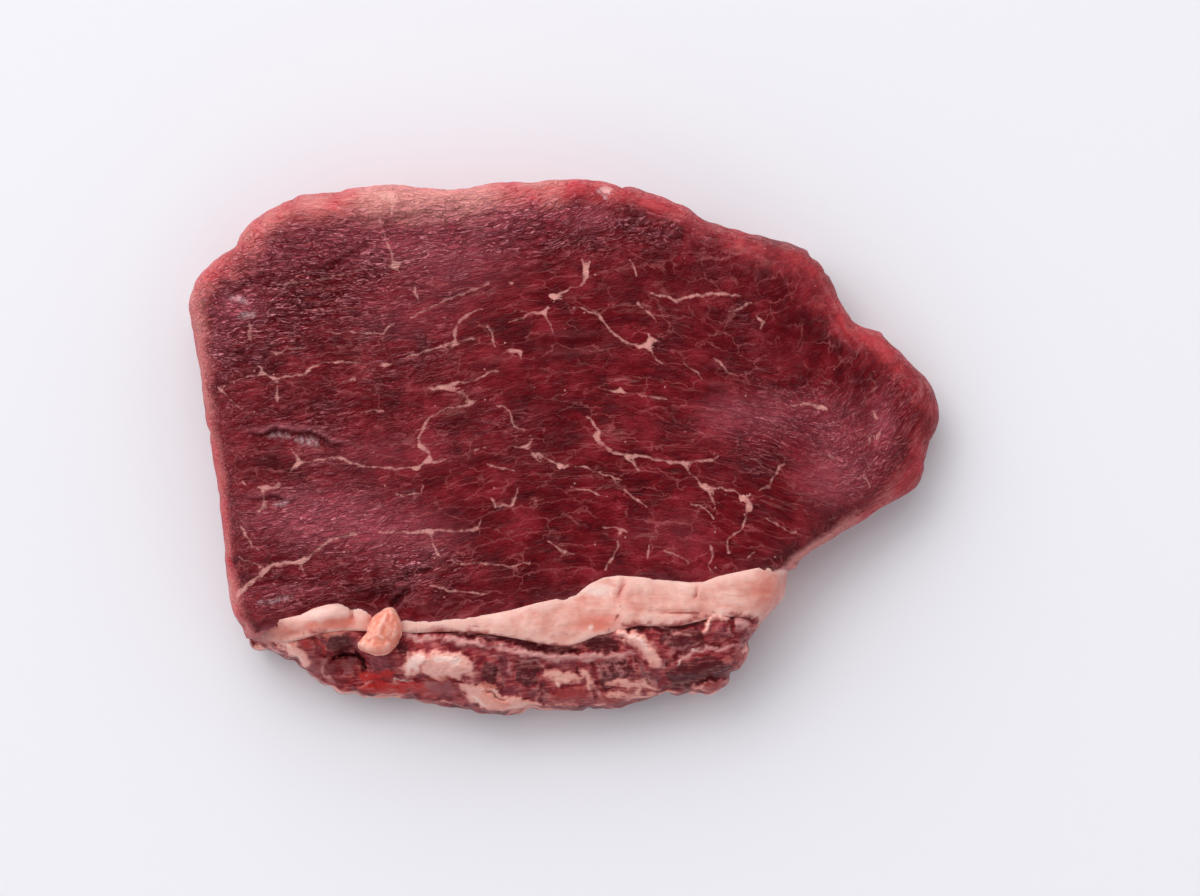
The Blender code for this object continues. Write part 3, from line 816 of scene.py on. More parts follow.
    # deep to light red by streak, fibre, bundle and mottling
    share = addNode(tree, "ShaderNodeMath", {0: streak, 1: 0.45}, operation="MULTIPLY").outputs[0]
    for part, weight in ((fibre, 0.25), (mottle, 1.5), (cell, 0.35), (blotch, 0.3), (grit, 0.5)):
        share = addNode(tree, "ShaderNodeMath", {0: part, 1: weight, 2: share},
                        operation="MULTIPLY_ADD").outputs[0]
    share = addNode(tree, "ShaderNodeMapRange", {0: share, 1: 1.1, 2: 2.05}).outputs[0]
    lean = addNode(tree, "ShaderNodeValToRGB", {0: share})
    lean.color_ramp.elements[0].color = hexColour(look["deep"])
    lean.color_ramp.elements[1].color = hexColour(look["light"])
    lean.color_ramp.elements.new(0.5).color = hexColour(look["mid"])
    tint = addNode(tree, "ShaderNodeMath", {0: blotch, 1: 0.12, 2: rimTint},
                   operation="MULTIPLY_ADD").outputs[0]
    tint = addNode(tree, "ShaderNodeMath", {0: mottle, 1: 0.9, 2: tint}, operation="MULTIPLY_ADD").outputs[0]
    tint = addNode(tree, "ShaderNodeMath", {0: fibre, 1: 0.5, 2: tint}, operation="MULTIPLY_ADD").outputs[0]
    tint = addNode(tree, "ShaderNodeMath", {0: tint, 1: 0.7}, operation="SUBTRACT").outputs[0]
    rimColour = addNode(tree, "ShaderNodeValToRGB", {0: tint})
    rimColour.color_ramp.elements[0].color = hexColour(look["rimDark"])
    rimColour.color_ramp.elements[1].color = hexColour(look["rimPale"])
    rimColour.color_ramp.elements.new(0.5).color = hexColour(look["rimMid"])

    # marbling: distance to the nearest line, its edge made ragged
    apart = addNode(tree, "ShaderNodeSeparateXYZ", {0: vein})
    flat = addNode(tree, "ShaderNodeCombineXYZ", {0: apart.outputs[0], 1: apart.outputs[1]}).outputs[0]
    distance = addNode(tree, "ShaderNodeVectorMath", {0: flat}, operation="LENGTH").outputs["Value"]
    fray = addNode(tree, "ShaderNodeTexNoise", {"Vector": grain, "Scale": 0.55, "Detail": 4.0,
                                                "Roughness": 0.65}).outputs["Fac"]
    fray = addNode(tree, "ShaderNodeMapRange", {0: fray, 1: 0.3, 2: 0.7, 3: -0.34, 4: 0.24}).outputs[0]
    reach = addNode(tree, "ShaderNodeMath", {0: veinHalf, 1: fray}, operation="ADD").outputs[0]
    inside = addNode(tree, "ShaderNodeMath", {0: reach, 1: distance}, operation="SUBTRACT").outputs[0]
    inside = addNode(tree, "ShaderNodeMapRange", {0: inside, 1: -0.3, 2: 0.22},
                     interpolation_type="SMOOTHSTEP").outputs[0]
    close = addNode(tree, "ShaderNodeMath", {0: veinHalf, 1: 0.6}, operation="ADD").outputs[0]
    close = addNode(tree, "ShaderNodeMath", {0: apart.outputs[2], 1: close}, operation="LESS_THAN").outputs[0]
    real = addNode(tree, "ShaderNodeMath", {0: veinHalf, 1: 0.1}, operation="GREATER_THAN").outputs[0]
    fatShare = addNode(tree, "ShaderNodeMath", {0: inside, 1: close}, operation="MULTIPLY").outputs[0]
    fatShare = addNode(tree, "ShaderNodeMath", {0: fatShare, 1: real}, operation="MULTIPLY").outputs[0]
    solid = addNode(tree, "ShaderNodeMapRange", {0: reach, 1: 0.0, 2: 0.8, 3: 0.42, 4: 0.95}).outputs[0]
    fatShare = addNode(tree, "ShaderNodeMath", {0: fatShare, 1: solid}, operation="MULTIPLY").outputs[0]

    # threads: hair-thin fat between the bundles, here and there
    squeezed = addNode(tree, "ShaderNodeVectorMath", {0: bent, 1: look["thread"]},
                       operation="MULTIPLY").outputs[0]
    thread = addNode(tree, "ShaderNodeTexNoise", {"Vector": squeezed, "Scale": 1.0,
                                                  "Detail": 2.0}).outputs["Fac"]
    thread = addNode(tree, "ShaderNodeMath", {0: thread, 1: 0.5}, operation="SUBTRACT").outputs[0]
    thread = addNode(tree, "ShaderNodeMath", {0: thread}, operation="ABSOLUTE").outputs[0]
    thread = addNode(tree, "ShaderNodeMapRange", {0: thread, 1: 0.002, 2: 0.014, 3: 1.0, 4: 0.0}).outputs[0]
    where = addNode(tree, "ShaderNodeMapRange", {0: streak, 1: 0.48, 2: 0.62, 4: 0.13}).outputs[0]
    thread = addNode(tree, "ShaderNodeMath", {0: thread, 1: where}, operation="MULTIPLY").outputs[0]

    # net: the faint paler film round each large bundle
    squeezed = addNode(tree, "ShaderNodeVectorMath", {0: wobble, 1: look["net"]},
                       operation="MULTIPLY").outputs[0]
    net = addNode(tree, "ShaderNodeTexVoronoi", {"Vector": squeezed, "Scale": 1.0},
                  feature="DISTANCE_TO_EDGE").outputs["Distance"]
    net = addNode(tree, "ShaderNodeMapRange", {0: net, 1: 0.01, 2: 0.045, 3: 0.26, 4: 0.0}).outputs[0]
    where = addNode(tree, "ShaderNodeMapRange", {0: streak, 1: 0.38, 2: 0.58}).outputs[0]
    net = addNode(tree, "ShaderNodeMath", {0: net, 1: where}, operation="MULTIPLY").outputs[0]

    # specks: crumbs of fat, and painted glints of light on the wet surface
    speckAndGlint = addNode(tree, "ShaderNodeTexVoronoi", {"Vector": place, "Scale": 420.0, "Randomness": 1.0})
    chosen = addNode(tree, "ShaderNodeSeparateColor", {0: speckAndGlint.outputs["Color"]}).outputs[0]
    chosen = addNode(tree, "ShaderNodeMath", {0: chosen, 1: 0.86}, operation="GREATER_THAN").outputs[0]
    speckAndGlint = addNode(tree, "ShaderNodeMapRange", {0: speckAndGlint.outputs["Distance"], 1: 0.07, 2: 0.13, 3: 0.6,
                                                 4: 0.0}).outputs[0]
    speckAndGlint = addNode(tree, "ShaderNodeMath", {0: speckAndGlint, 1: chosen}, operation="MULTIPLY").outputs[0]

    # painted sheen where the tone is above zero, deeper red where it is below
    sheenShare = addNode(tree, "ShaderNodeMapRange", {0: sheenAndDeepTone, 1: 0.05, 2: 1.0, 4: 0.85}).outputs[0]
    deepShare = addNode(tree, "ShaderNodeMapRange", {0: sheenAndDeepTone, 1: -0.05, 2: -1.0, 4: 0.7}).outputs[0]
    ragged = addNode(tree, "ShaderNodeMath", {0: fibre, 1: 0.5, 2: rimTone},
                     operation="MULTIPLY_ADD").outputs[0]
    rimShare = addNode(tree, "ShaderNodeMapRange", {0: ragged, 1: 0.25, 2: 1.2, 4: 0.95},
                       interpolation_type="SMOOTHSTEP").outputs[0]
    skin = addNode(tree, "ShaderNodeMapRange", {0: streak, 1: 0.5, 2: 0.7, 4: 0.4}).outputs[0]
    skin = addNode(tree, "ShaderNodeMath", {0: skin, 1: rimShare}, operation="MULTIPLY").outputs[0]
    # painted highlight: pale lines beside the wrinkle grooves, glinting here and there
    ridgeHighlight = addNode(tree, "ShaderNodeMath", {0: ridgeHighlights[1], 1: 0.6}, operation="MULTIPLY").outputs[0]
    ridgeHighlight = addNode(tree, "ShaderNodeMath", {0: ridgeHighlights[0], 1: ridgeHighlight}, operation="MAXIMUM").outputs[0]
    where = addNode(tree, "ShaderNodeMapRange", {0: wrinkle, 1: 0.15, 2: 0.9}).outputs[0]
    ridgeHighlight = addNode(tree, "ShaderNodeMath", {0: ridgeHighlight, 1: where}, operation="MULTIPLY").outputs[0]
    where = addNode(tree, "ShaderNodeMapRange", {0: grit, 1: 0.4, 2: 0.54}).outputs[0]
    ridgeHighlight = addNode(tree, "ShaderNodeMath", {0: ridgeHighlight, 1: where}, operation="MULTIPLY").outputs[0]
    glint = addNode(tree, "ShaderNodeMapRange", {0: fibre, 1: 0.4, 2: 0.6, 3: 0.2, 4: 0.85}).outputs[0]
    ridgeHighlight = addNode(tree, "ShaderNodeMath", {0: ridgeHighlight, 1: glint}, operation="MULTIPLY").outputs[0]
    # painted highlight on the crests of the mesh
    crestHighlightShare = addNode(tree, "ShaderNodeMath", {0: crestHighlight, 1: 0.28}, operation="MULTIPLY").outputs[0]
    squeezed = addNode(tree, "ShaderNodeVectorMath", {0: grain, 1: look["pleat"]},
                       operation="MULTIPLY").outputs[0]
    pleat = addNode(tree, "ShaderNodeTexNoise", {"Vector": squeezed, "Scale": 1.0,
                                                 "Detail": 1.0}).outputs["Fac"]
    pleat = addNode(tree, "ShaderNodeMapRange", {0: pleat, 1: 0.36, 2: 0.6, 3: 0.15, 4: 0.7}).outputs[0]
    filmShare = addNode(tree, "ShaderNodeMath", {0: film, 1: pleat}, operation="MULTIPLY").outputs[0]
    # painted shade in the wrinkle grooves, weaker on the rim
    groove = addNode(tree, "ShaderNodeMath", {0: grooves[1], 1: 0.4}, operation="MULTIPLY").outputs[0]
    groove = addNode(tree, "ShaderNodeMath", {0: grooves[0], 1: groove}, operation="MAXIMUM").outputs[0]
    grooveShade = addNode(tree, "ShaderNodeMath", {0: groove, 1: wrinkle}, operation="MULTIPLY").outputs[0]
    where = addNode(tree, "ShaderNodeMapRange", {0: rimShare, 1: 0.0, 2: 1.0, 3: 0.5, 4: 0.25}).outputs[0]
    grooveShade = addNode(tree, "ShaderNodeMath", {0: grooveShade, 1: where}, operation="MULTIPLY").outputs[0]
    # painted shade in the hollows of the mesh
    hollowShadeShare = addNode(tree, "ShaderNodeMath", {0: hollowShade, 1: 0.22}, operation="MULTIPLY").outputs[0]
    colour = lean.outputs[0]
    for layerShare, layer in ((sheenShare, hexColour(look["sheen"])), (deepShare, hexColour(look["deep"])),
                              (thread, hexColour(look["fat"])), (net, hexColour(look["skin"])),
                              (rimShare, rimColour.outputs[0]),
                              (skin, hexColour(look["skin"])),
                              (crestHighlightShare, hexColour(look["ridgeHighlight"])), (ridgeHighlight, hexColour(look["ridgeHighlight"])),
                              (grooveShade, hexColour(look["dark"])), (hollowShadeShare, hexColour(look["dark"])),
                              (fatShare, hexColour(look["fat"])), (filmShare, hexColour(look["silver"])),
                              (speckAndGlint, hexColour(look["fat"]))):
        colour = addNode(tree, "ShaderNodeMix", {0: layerShare, 6: colour, 7: layer},
                         data_type="RGBA").outputs[2]

    # relief too fine for the mesh
    relief = addNode(tree, "ShaderNodeMath", {0: pillow, 1: 0.5}, operation="MULTIPLY").outputs[0]
    relief = addNode(tree, "ShaderNodeMath", {0: relief, 1: groove}, operation="SUBTRACT").outputs[0]
    relief = addNode(tree, "ShaderNodeMath", {0: relief, 1: wrinkle}, operation="MULTIPLY").outputs[0]
    for part, weight in ((fibre, 0.25), (streak, 0.25), (mottle, 0.5), (grit, 0.5), (fatShare, -0.15),
                         (filmShare, 0.5), (speckAndGlint, 0.5)):
        relief = addNode(tree, "ShaderNodeMath", {0: part, 1: weight, 2: relief},
                         operation="MULTIPLY_ADD").outputs[0]
    bump = addNode(tree, "ShaderNodeBump", {"Height": relief, "Strength": 1.0,
                                            "Distance": 0.00036}).outputs[0]

    tree.links.new(colour, shader.inputs["Base Color"])
    tree.links.new(bump, shader.inputs["Normal"])
    tree.links.new(bump, shader.inputs["Coat Normal"])
    damp = addNode(tree, "ShaderNodeMapRange", {0: mottle, 1: 0.3, 2: 0.7, 3: 0.36, 4: 0.52}).outputs[0]
    tree.links.new(damp, shader.inputs["Roughness"])
    shader.inputs["IOR"].default_value = 1.38
    shader.inputs["Specular IOR Level"].default_value = 0.08
    shader.inputs["Subsurface Weight"].default_value = 0.05
    shader.inputs["Subsurface Radius"].default_value = (1.0, 0.25, 0.15)
    shader.inputs["Subsurface Scale"].default_value = 0.0015
    shader.inputs["Coat Weight"].default_value = 0.14
    shader.inputs["Coat Roughness"].default_value = 0.12
    shader.inputs["Coat IOR"].default_value = 1.34
    return material


# Fat and mixed tissue: soft and waxy, with light passing some way into it
def softMaterial(name, look):
    material = bpy.data.materials.new(name)
    material.use_nodes = True
    tree = material.node_tree
    shader = tree.nodes["Principled BSDF"]
    place = addNode(tree, "ShaderNodeTexCoord", {}).outputs["Object"]
    grain = addNode(tree, "ShaderNodeAttribute", {}, attribute_name="grain").outputs["Vector"]
    squeezed = addNode(tree, "ShaderNodeVectorMath", {0: grain, 1: look["streak"]},
                       operation="MULTIPLY").outputs[0]
    streak = addNode(tree, "ShaderNodeTexNoise", {"Vector": squeezed, "Scale": 1.0,
                                                  "Detail": 3.0, "Distortion": 0.6}).outputs["Fac"]
    mottle = addNode(tree, "ShaderNodeTexNoise", {"Vector": place, "Scale": look["mottle"],
                                                  "Detail": 4.0}).outputs["Fac"]
    fine = addNode(tree, "ShaderNodeTexNoise", {"Vector": place, "Scale": look["fine"],
                                                "Detail": 2.0}).outputs["Fac"]
    squeezed = addNode(tree, "ShaderNodeVectorMath", {0: grain, 1: look["hair"]},
                       operation="MULTIPLY").outputs[0]
    hair = addNode(tree, "ShaderNodeTexNoise", {"Vector": squeezed, "Scale": 1.0,
                                                "Detail": 2.0, "Distortion": 0.4}).outputs["Fac"]
    share = addNode(tree, "ShaderNodeMix", {0: look["streaky"], 2: mottle, 3: streak}).outputs[0]
    hairs = addNode(tree, "ShaderNodeMapRange", {0: hair, 1: 0.3, 2: 0.7, 3: -look["hairy"] * 0.25,
                                                 4: look["hairy"] * 0.25}).outputs[0]
    share = addNode(tree, "ShaderNodeMath", {0: share, 1: hairs}, operation="ADD").outputs[0]
    share = addNode(tree, "ShaderNodeMapRange", {0: share, 1: 0.34, 2: 0.66}).outputs[0]
    base = addNode(tree, "ShaderNodeValToRGB", {0: share})
    base.color_ramp.elements[0].color = hexColour(look["deep"])
    base.color_ramp.elements[1].color = hexColour(look["light"])
    base.color_ramp.elements.new(0.5).color = hexColour(look["mid"])
    colour = base.outputs[0]
    fray = addNode(tree, "ShaderNodeTexNoise", {"Vector": place, "Scale": 420.0, "Detail": 5.0,
                                                "Roughness": 0.65}).outputs["Fac"]
    fray = addNode(tree, "ShaderNodeMath", {0: fray, 1: streak}, operation="ADD").outputs[0]
    fray = addNode(tree, "ShaderNodeMath", {0: hair, 1: 0.6, 2: fray}, operation="MULTIPLY_ADD").outputs[0]
    fray = addNode(tree, "ShaderNodeMath", {0: fray, 1: 1.3}, operation="SUBTRACT").outputs[0]
    for attribute, code, strength, softness, level in look["layers"]:
        amount = addNode(tree, "ShaderNodeAttribute", {}, attribute_name=attribute).outputs["Fac"]
        amount = addNode(tree, "ShaderNodeMath", {0: fray, 1: look["fray"], 2: amount},
                         operation="MULTIPLY_ADD").outputs[0]
        amount = addNode(tree, "ShaderNodeMapRange", {0: amount, 1: level - softness, 2: level + softness,
                                                      4: strength},
                         interpolation_type="SMOOTHSTEP").outputs[0]
        colour = addNode(tree, "ShaderNodeMix", {0: amount, 6: colour, 7: hexColour(code)},
                         data_type="RGBA").outputs[2]
    relief = addNode(tree, "ShaderNodeMath", {0: streak, 1: look["streaky"]}, operation="MULTIPLY").outputs[0]
    relief = addNode(tree, "ShaderNodeMath", {0: hair, 1: look["hairy"], 2: relief},
                     operation="MULTIPLY_ADD").outputs[0]
    relief = addNode(tree, "ShaderNodeMath", {0: mottle, 1: 0.8, 2: relief},
                     operation="MULTIPLY_ADD").outputs[0]
    relief = addNode(tree, "ShaderNodeMath", {0: fine, 1: 0.25, 2: relief},
                     operation="MULTIPLY_ADD").outputs[0]
    bump = addNode(tree, "ShaderNodeBump", {"Height": relief, "Strength": 1.0,
                                            "Distance": look["relief"] * mm}).outputs[0]
    tree.links.new(colour, shader.inputs["Base Color"])
    tree.links.new(bump, shader.inputs["Normal"])
    tree.links.new(bump, shader.inputs["Coat Normal"])
    shader.inputs["Roughness"].default_value = look["roughness"]
    shader.inputs["IOR"].default_value = 1.42
    shader.inputs["Specular IOR Level"].default_value = 0.15
    shader.inputs["Subsurface Weight"].default_value = look["glow"]
    shader.inputs["Subsurface Radius"].default_value = (1.0, 0.4, 0.25)
    shader.inputs["Subsurface Scale"].default_value = 0.002
    shader.inputs["Coat Weight"].default_value = look["wet"]
    shader.inputs["Coat Roughness"].default_value = 0.2
    shader.inputs["Coat IOR"].default_value = 1.34
    return material


# The hard fat between the two muscles

seam = {"voxel": 0.55, "smoothing": 6, "lumps": 0.35, "grains": 0.08}

seamForms = [
    (0.8, 4.0, (-58.0, -39.4), (-53.0, -38.8)), (0.7, 3.0, (-49.6, -38.6), (-48.4, -40.6)),
    (-0.6, 1.0, (-51.2, -37.4), (-50.8, -39.8)), (-0.4, 1.2, (13.6, -31.6), (12.6, -34.6)),
    (-0.5, 1.0, (31.2, -33.2), (30.8, -35.0)), (-0.25, 1.0, (20.0, -38.3), (28.0, -38.7), (36.0, -38.5)),
]
seamSalmon = [(10, -42, 5, 3.5, 0.9), (48, -34, 5, 6, 0.9), (-62, -42.5, 9, 2.2, 1.0),
              (-46, -41.0, 4, 2, 0.9),
              (-20, -42, 8, 1.5, 0.4), (30, -37.5, 9, 1.2, 0.3), (4, -41, 5, 2.5, 0.5),
              (-53, -41.0, 4, 1.6, 0.9)]
seamTip = [(-79, -43, 11.0, 4, 1.6)]
seamLace = [    # where lean from the small muscle creeps over the fat's lower edge
    (1.0, (-62.0, -43.6), (-57.0, -43.2)), (0.8, (-36.0, -42.8), (-28.0, -43.2), (-20.0, -43.8),
                                            (-12.0, -44.6)),
    (1.0, (-10.0, -45.4), (-4.0, -46.6), (2.0, -46.9), (6.0, -45.6), (12.0, -44.2)),
    (1.2, (13.6, -41.6), (19.0, -41.8)),
    (1.0, (20.0, -41.4), (25.0, -41.9), (30.0, -40.4), (36.0, -39.0)),
    (1.0, (38.0, -38.6), (44.0, -40.0), (47.0, -41.2)),
]
# Whiter fat, with painted highlights on the lobes at the left end: (x, y, reach along x, reach along y,
# amount)
seamWhiteAndHighlights = [(8, -33.5, 4, 1.8, 0.9), (6, -42.2, 0.8, 0.8, 1.0), (-60, -39, 6, 1.6, 0.5),
             (38, -35, 9, 2, 0.4),
             (-52, -38, 4, 1.2, 0.5), (-35, -41, 4, 0.8, 0.5)]
seamBlood = [
    (0.5, (13.3, -37.1), (13.0, -37.5)), (0.5, (12.6, -39.0), (11.8, -40.6)),
    (0.4, (31.4, -33.8), (31.0, -35.0)),
    (0.3, (14.0, -32.2), (12.4, -34.4)), (0.35, (20.0, -38.4), (28.0, -38.8), (36.0, -38.6)),
    (0.4, (10.0, -43.4), (11.0, -42.0)), (0.4, (49.6, -38.6), (49.9, -38.9)),
]

seamLook = {
    "deep": "#DA8E80", "mid": "#E6A799", "light": "#F1BEB2",
    "streak": (0.12, 0.5, 0.3), "streaky": 0.35, "mottle": 230.0, "fine": 1500.0,
    "hair": (0.2, 1.6, 0.6), "hairy": 0.15, "fray": 0.5,
    "relief": 0.4, "roughness": 0.42, "glow": 0.2, "wet": 0.3,
    # the white layer is whiter fat with painted highlights on the left lobes
    "layers": [("salmon", "#DC7462", 0.75, 0.4, 0.5), ("white", "#F8DDD3", 0.7, 0.4, 0.5),
               ("joint", "#CC7A74", 0.5, 0.3, 0.6),
               ("blood", "#8A2026", 0.8, 0.3, 0.5), ("wall", "#D08C84", 0.5, 0.3, 0.5),
               # painted highlight on the crests and painted shade in the hollows
               ("crestHighlight", "#F6CFC4", 0.5, 0.5, 0.5),
               ("hollowShade", "#B85C58", 0.7, 0.5, 0.5), ("lace", "#C4746C", 0.8, 0.3, 0.35),
               ("lace", "#8A2C30", 0.85, 0.3, 0.7),
               ("tip", "#A86058", 0.9, 0.4, 0.4), ("tip", "#842E33", 0.9, 0.4, 1.0)],
}


def shapeSeam(piece, s, joint):
    points, normals = readPoints(piece)
    x, y, z = points.T
    up = ease(normals[:, 2], 0.15, 0.75)
    side = 1 - ease(np.abs(normals[:, 2]), 0.2, 0.8)
    along, across = grainAt(x, y)
    lift = s["lumps"] * (lumps(x, y, 7, 11) + 0.5 * lumps(x, y, 2.6, 12)) + s["grains"] * lumps(x, y, 1.2, 13)
    for height, width, *line in seamForms:
        awayX, awayY, away, half, others = nearestLine(x, y, [(width, *line)])
        lift += height * np.exp(-(away / (width / 2)) ** 2)
    z += up * lift
    outer = side * (1 - joint)
    points[:, :2] += normals[:, :2] * (outer * (0.4 + 0.5 * lumps(x + z, y - z, 4, 14)))[:, None]
    z[:] = np.maximum(z, 0.0)
    writePoints(piece, points)
    paint(piece, "grain", np.stack([along, across, z], 1))
    paint(piece, "salmon", np.clip(patches(x, y, seamSalmon), 0, 1))
    paint(piece, "white", np.clip(patches(x, y, seamWhiteAndHighlights), 0, 1))
    paint(piece, "tip", np.clip(patches(x, y, seamTip), 0, 1.6))
    ragX, ragY = x + 0.7 * lumps(x, y, 2.6, 15), y + 0.5 * lumps(x, y, 1.7, 16)
    smear = ease(lumps(x + 0.5 * y, z * 1.7, 6, 17) + 0.5 * lumps(x - y, z * 2.4, 2.6, 18), 0.1, 0.8)
    paint(piece, "lace", np.maximum(strokes(ragX, ragY, seamLace, 1.6),
                                    0.75 * smear * outer * ease(17 - z, 0, 5)))
    paint(piece, "joint", joint * 0.8)
    paint(piece, "blood", strokes(x, y, seamBlood, 0.7) * up)
    paint(piece, "wall", side)
    paintReliefShading(piece, 10, 0.3)


# The small muscle below it, torn and mixed with fat

strip = {"voxel": 0.52, "smoothing": 5, "lumps": 0.3, "fibres": 0.12, "fatRise": 0.35, "darkSink": 0.3}

# Raised and sunken places: (height, width, points along the middle)
stripForms = [
    (-3.4, 8.5, (-54.0, -53.2), (-51.4, -53.0)), (2.2, 5.2, (-53.6, -53.6), (-52.2, -52.6)),
    (-2.0, 1.8, (-56.2, -49.8), (-53.8, -48.9), (-50.6, -49.1), (-48.9, -50.6), (-48.1, -52.8)),
    (1.5, 5.4, (-47.0, -50.4), (-42.6, -51.0)), (1.1, 3.4, (-48.8, -57.0), (-44.0, -57.4), (-37.0, -57.2)),
    (1.6, 7.0, (-33.0, -50.8), (-28.0, -51.0), (-24.0, -52.6)), (0.9, 3.4, (-37.6, -52.8), (-34.4, -49.6)),
    (0.9, 4.4, (-23.4, -57.2), (-18.6, -60.0), (-13.0, -61.6)), (0.7, 1.4, (-30.0, -45.2), (-20.0, -46.6)),
    (-0.9, 1.4, (-36.0, -43.1), (-30.0, -43.4), (-20.0, -44.4)),
    (-1.1, 2.2, (-15.8, -45.1), (-11.0, -45.8), (-6.6, -46.9), (-2.0, -47.7), (2.6, -47.7)),
    (-0.9, 3.0, (5.0, -46.8), (8.6, -46.4), (12.5, -46.6)),
    (0.6, 2.0, (-15.0, -48.0), (-2.0, -49.7), (13.0, -49.1)),
    (-0.8, 1.8, (13.0, -42.0), (19.0, -42.6), (25.0, -42.8), (31.0, -41.6), (38.0, -39.8), (44.0, -41.2)),
    (0.9, 2.8, (13.0, -43.6), (17.0, -45.4), (20.0, -48.4), (22.6, -51.8)),
    (1.1, 4.6, (25.0, -46.4), (30.0, -45.8)),
    (1.3, 1.6, (38.2, -40.0), (35.4, -39.8), (33.9, -41.6), (33.5, -43.6)),
    (1.2, 3.4, (36.8, -43.0), (37.4, -43.6)),
    (1.0, 3.4, (41.5, -41.4), (46.0, -42.6)), (-0.8, 1.4, (39.8, -40.4), (39.6, -44.8), (36.0, -46.2)),
    (-0.7, 1.2, (24.0, -51.0), (27.0, -49.0), (31.0, -47.2), (41.0, -46.2)),
    (1.2, 5.2, (28.0, -53.6), (38.0, -51.0)),
    (1.0, 2.8, (32.6, -57.0), (37.5, -56.2)), (-0.8, 1.2, (24.0, -57.0), (30.6, -55.6), (38.0, -54.2)),
    (0.8, 2.4, (12.2, -56.9), (15.8, -57.8)), (0.8, 2.0, (18.8, -58.0), (20.4, -57.9)),
    (0.9, 3.4, (-3.4, -59.2), (5.2, -58.9)), (0.8, 3.4, (8.4, -60.0), (13.4, -60.4)),
    (0.8, 2.6, (-8.0, -57.4), (-6.6, -59.2)),
    (-0.7, 1.0, (-9.4, -60.0), (-5.6, -56.6), (-5.2, -60.6)), (-0.7, 0.9, (6.4, -56.6), (7.0, -60.6)),
    (-0.7, 0.9, (-19.2, -57.6), (-17.0, -59.4), (-15.2, -59.9)),
    (-0.8, 1.4, (-36.0, -54.6), (-31.0, -54.9), (-25.6, -55.0)),
    (0.9, 3.4, (-11.6, -52.4), (-7.6, -55.0)), (0.8, 3.0, (-18.6, -51.6), (-17.6, -55.4)),
    (0.9, 4.0, (9.0, -52.8), (15.0, -53.0)),
    (-0.6, 0.8, (-15.4, -50.0), (-15.2, -57.0)), (-0.6, 0.8, (6.0, -50.4), (7.6, -56.0)),
    (-0.6, 0.8, (17.2, -50.2), (19.8, -55.2)),
    (-1.2, 2.6, (-75.6, -46.6), (-71.0, -47.6)), (-1.0, 1.2, (-71.6, -43.8), (-66.6, -47.8), (-63.4, -51.4)),
    (-1.2, 2.2, (-59.8, -45.0), (-58.0, -48.8)), (0.8, 2.2, (-58.0, -50.4), (-56.6, -55.2)),
    (-0.9, 3.0, (-56.6, -46.0), (-51.0, -46.6)),
]

stripNicks = [
    (42.8, -46.4, 1.3, 1.3), (40.6, -54.8, 1.5, 1.1), (24.4, -59.4, 1.3, 1.0), (29.8, -58.8, 1.0, 0.6),
    (-50.6, -59.2, 1.2, 0.8), (-8.6, -62.8, 1.6, 0.9), (-57.2, -57.8, 1.2, 0.6), (-64.4, -50.6, 1.4, 0.9),
    (-72.4, -48.8, 1.2, 0.7), (5.4, -63.0, 1.0, 0.7), (-23.0, -62.6, 1.2, 0.5), (47.6, -43.6, 1.0, 0.7),
]

stripFat = [
    (3.2, (-69.4, -43.6), (-66.4, -45.6), (-64.2, -48.4), (-62.2, -51.4)),
    (3.4, (-37.6, -53.2), (-36.2, -50.8), (-33.8, -48.8)),
    (6.0, (-33.4, -51.2), (-28.0, -51.2), (-24.2, -51.8)), (3.6, (-25.6, -49.4), (-22.4, -53.6)),
    (4.8, (-24.6, -56.4), (-20.8, -58.6), (-17.0, -60.8), (-12.6, -61.6)),
    (3.2, (-14.0, -61.0), (-9.6, -61.0)),
    (2.0, (-9.6, -60.8), (-6.0, -61.3)), (1.7, (-5.0, -61.8), (0.0, -62.1), (4.8, -62.0)),
    (2.2, (-5.0, -52.6), (-3.0, -54.0), (0.4, -54.4), (4.4, -54.4)),
    (1.6, (4.6, -52.6), (5.4, -55.0), (6.2, -57.4)),
    (1.8, (-2.4, -56.2), (-0.8, -55.6)), (1.7, (10.4, -55.9), (13.0, -55.6), (16.6, -56.3), (19.0, -56.0),
                                          (22.2, -57.4)),
    (1.2, (17.4, -56.4), (17.2, -59.4)), (2.2, (14.6, -60.0), (18.0, -59.9), (22.6, -59.0)),
    (1.2, (10.0, -58.4), (13.0, -59.2), (15.4, -59.6)), (1.4, (12.9, -40.6), (14.6, -40.4), (20.0, -40.6)),
    (3.0, (12.2, -43.2), (16.0, -44.8), (19.0, -46.8), (20.6, -49.2), (22.4, -51.6)),
    (1.2, (38.4, -39.9), (35.6, -39.7), (33.9, -41.4), (33.4, -43.4)),
    (0.8, (30.6, -57.9), (32.0, -56.8), (34.6, -57.6)),
    (0.6, (34.8, -58.4), (37.0, -57.0), (38.6, -55.6)), (0.8, (43.3, -46.8), (43.1, -48.6)),
]
stripOrange = [
    (2.0, (-20.0, -57.8), (-17.0, -60.2), (-13.6, -61.6)), (1.6, (-19.6, -56.4), (-17.0, -57.0)),
    (2.0, (-66.0, -44.6), (-64.4, -46.8)), (1.6, (-11.0, -61.4), (-8.0, -61.0)),
    (1.4, (13.0, -59.4), (21.0, -58.8)),
    (1.2, (-32.4, -54.2), (-27.0, -54.4)), (1.4, (-58.0, -43.6), (-51.0, -43.2)),
]
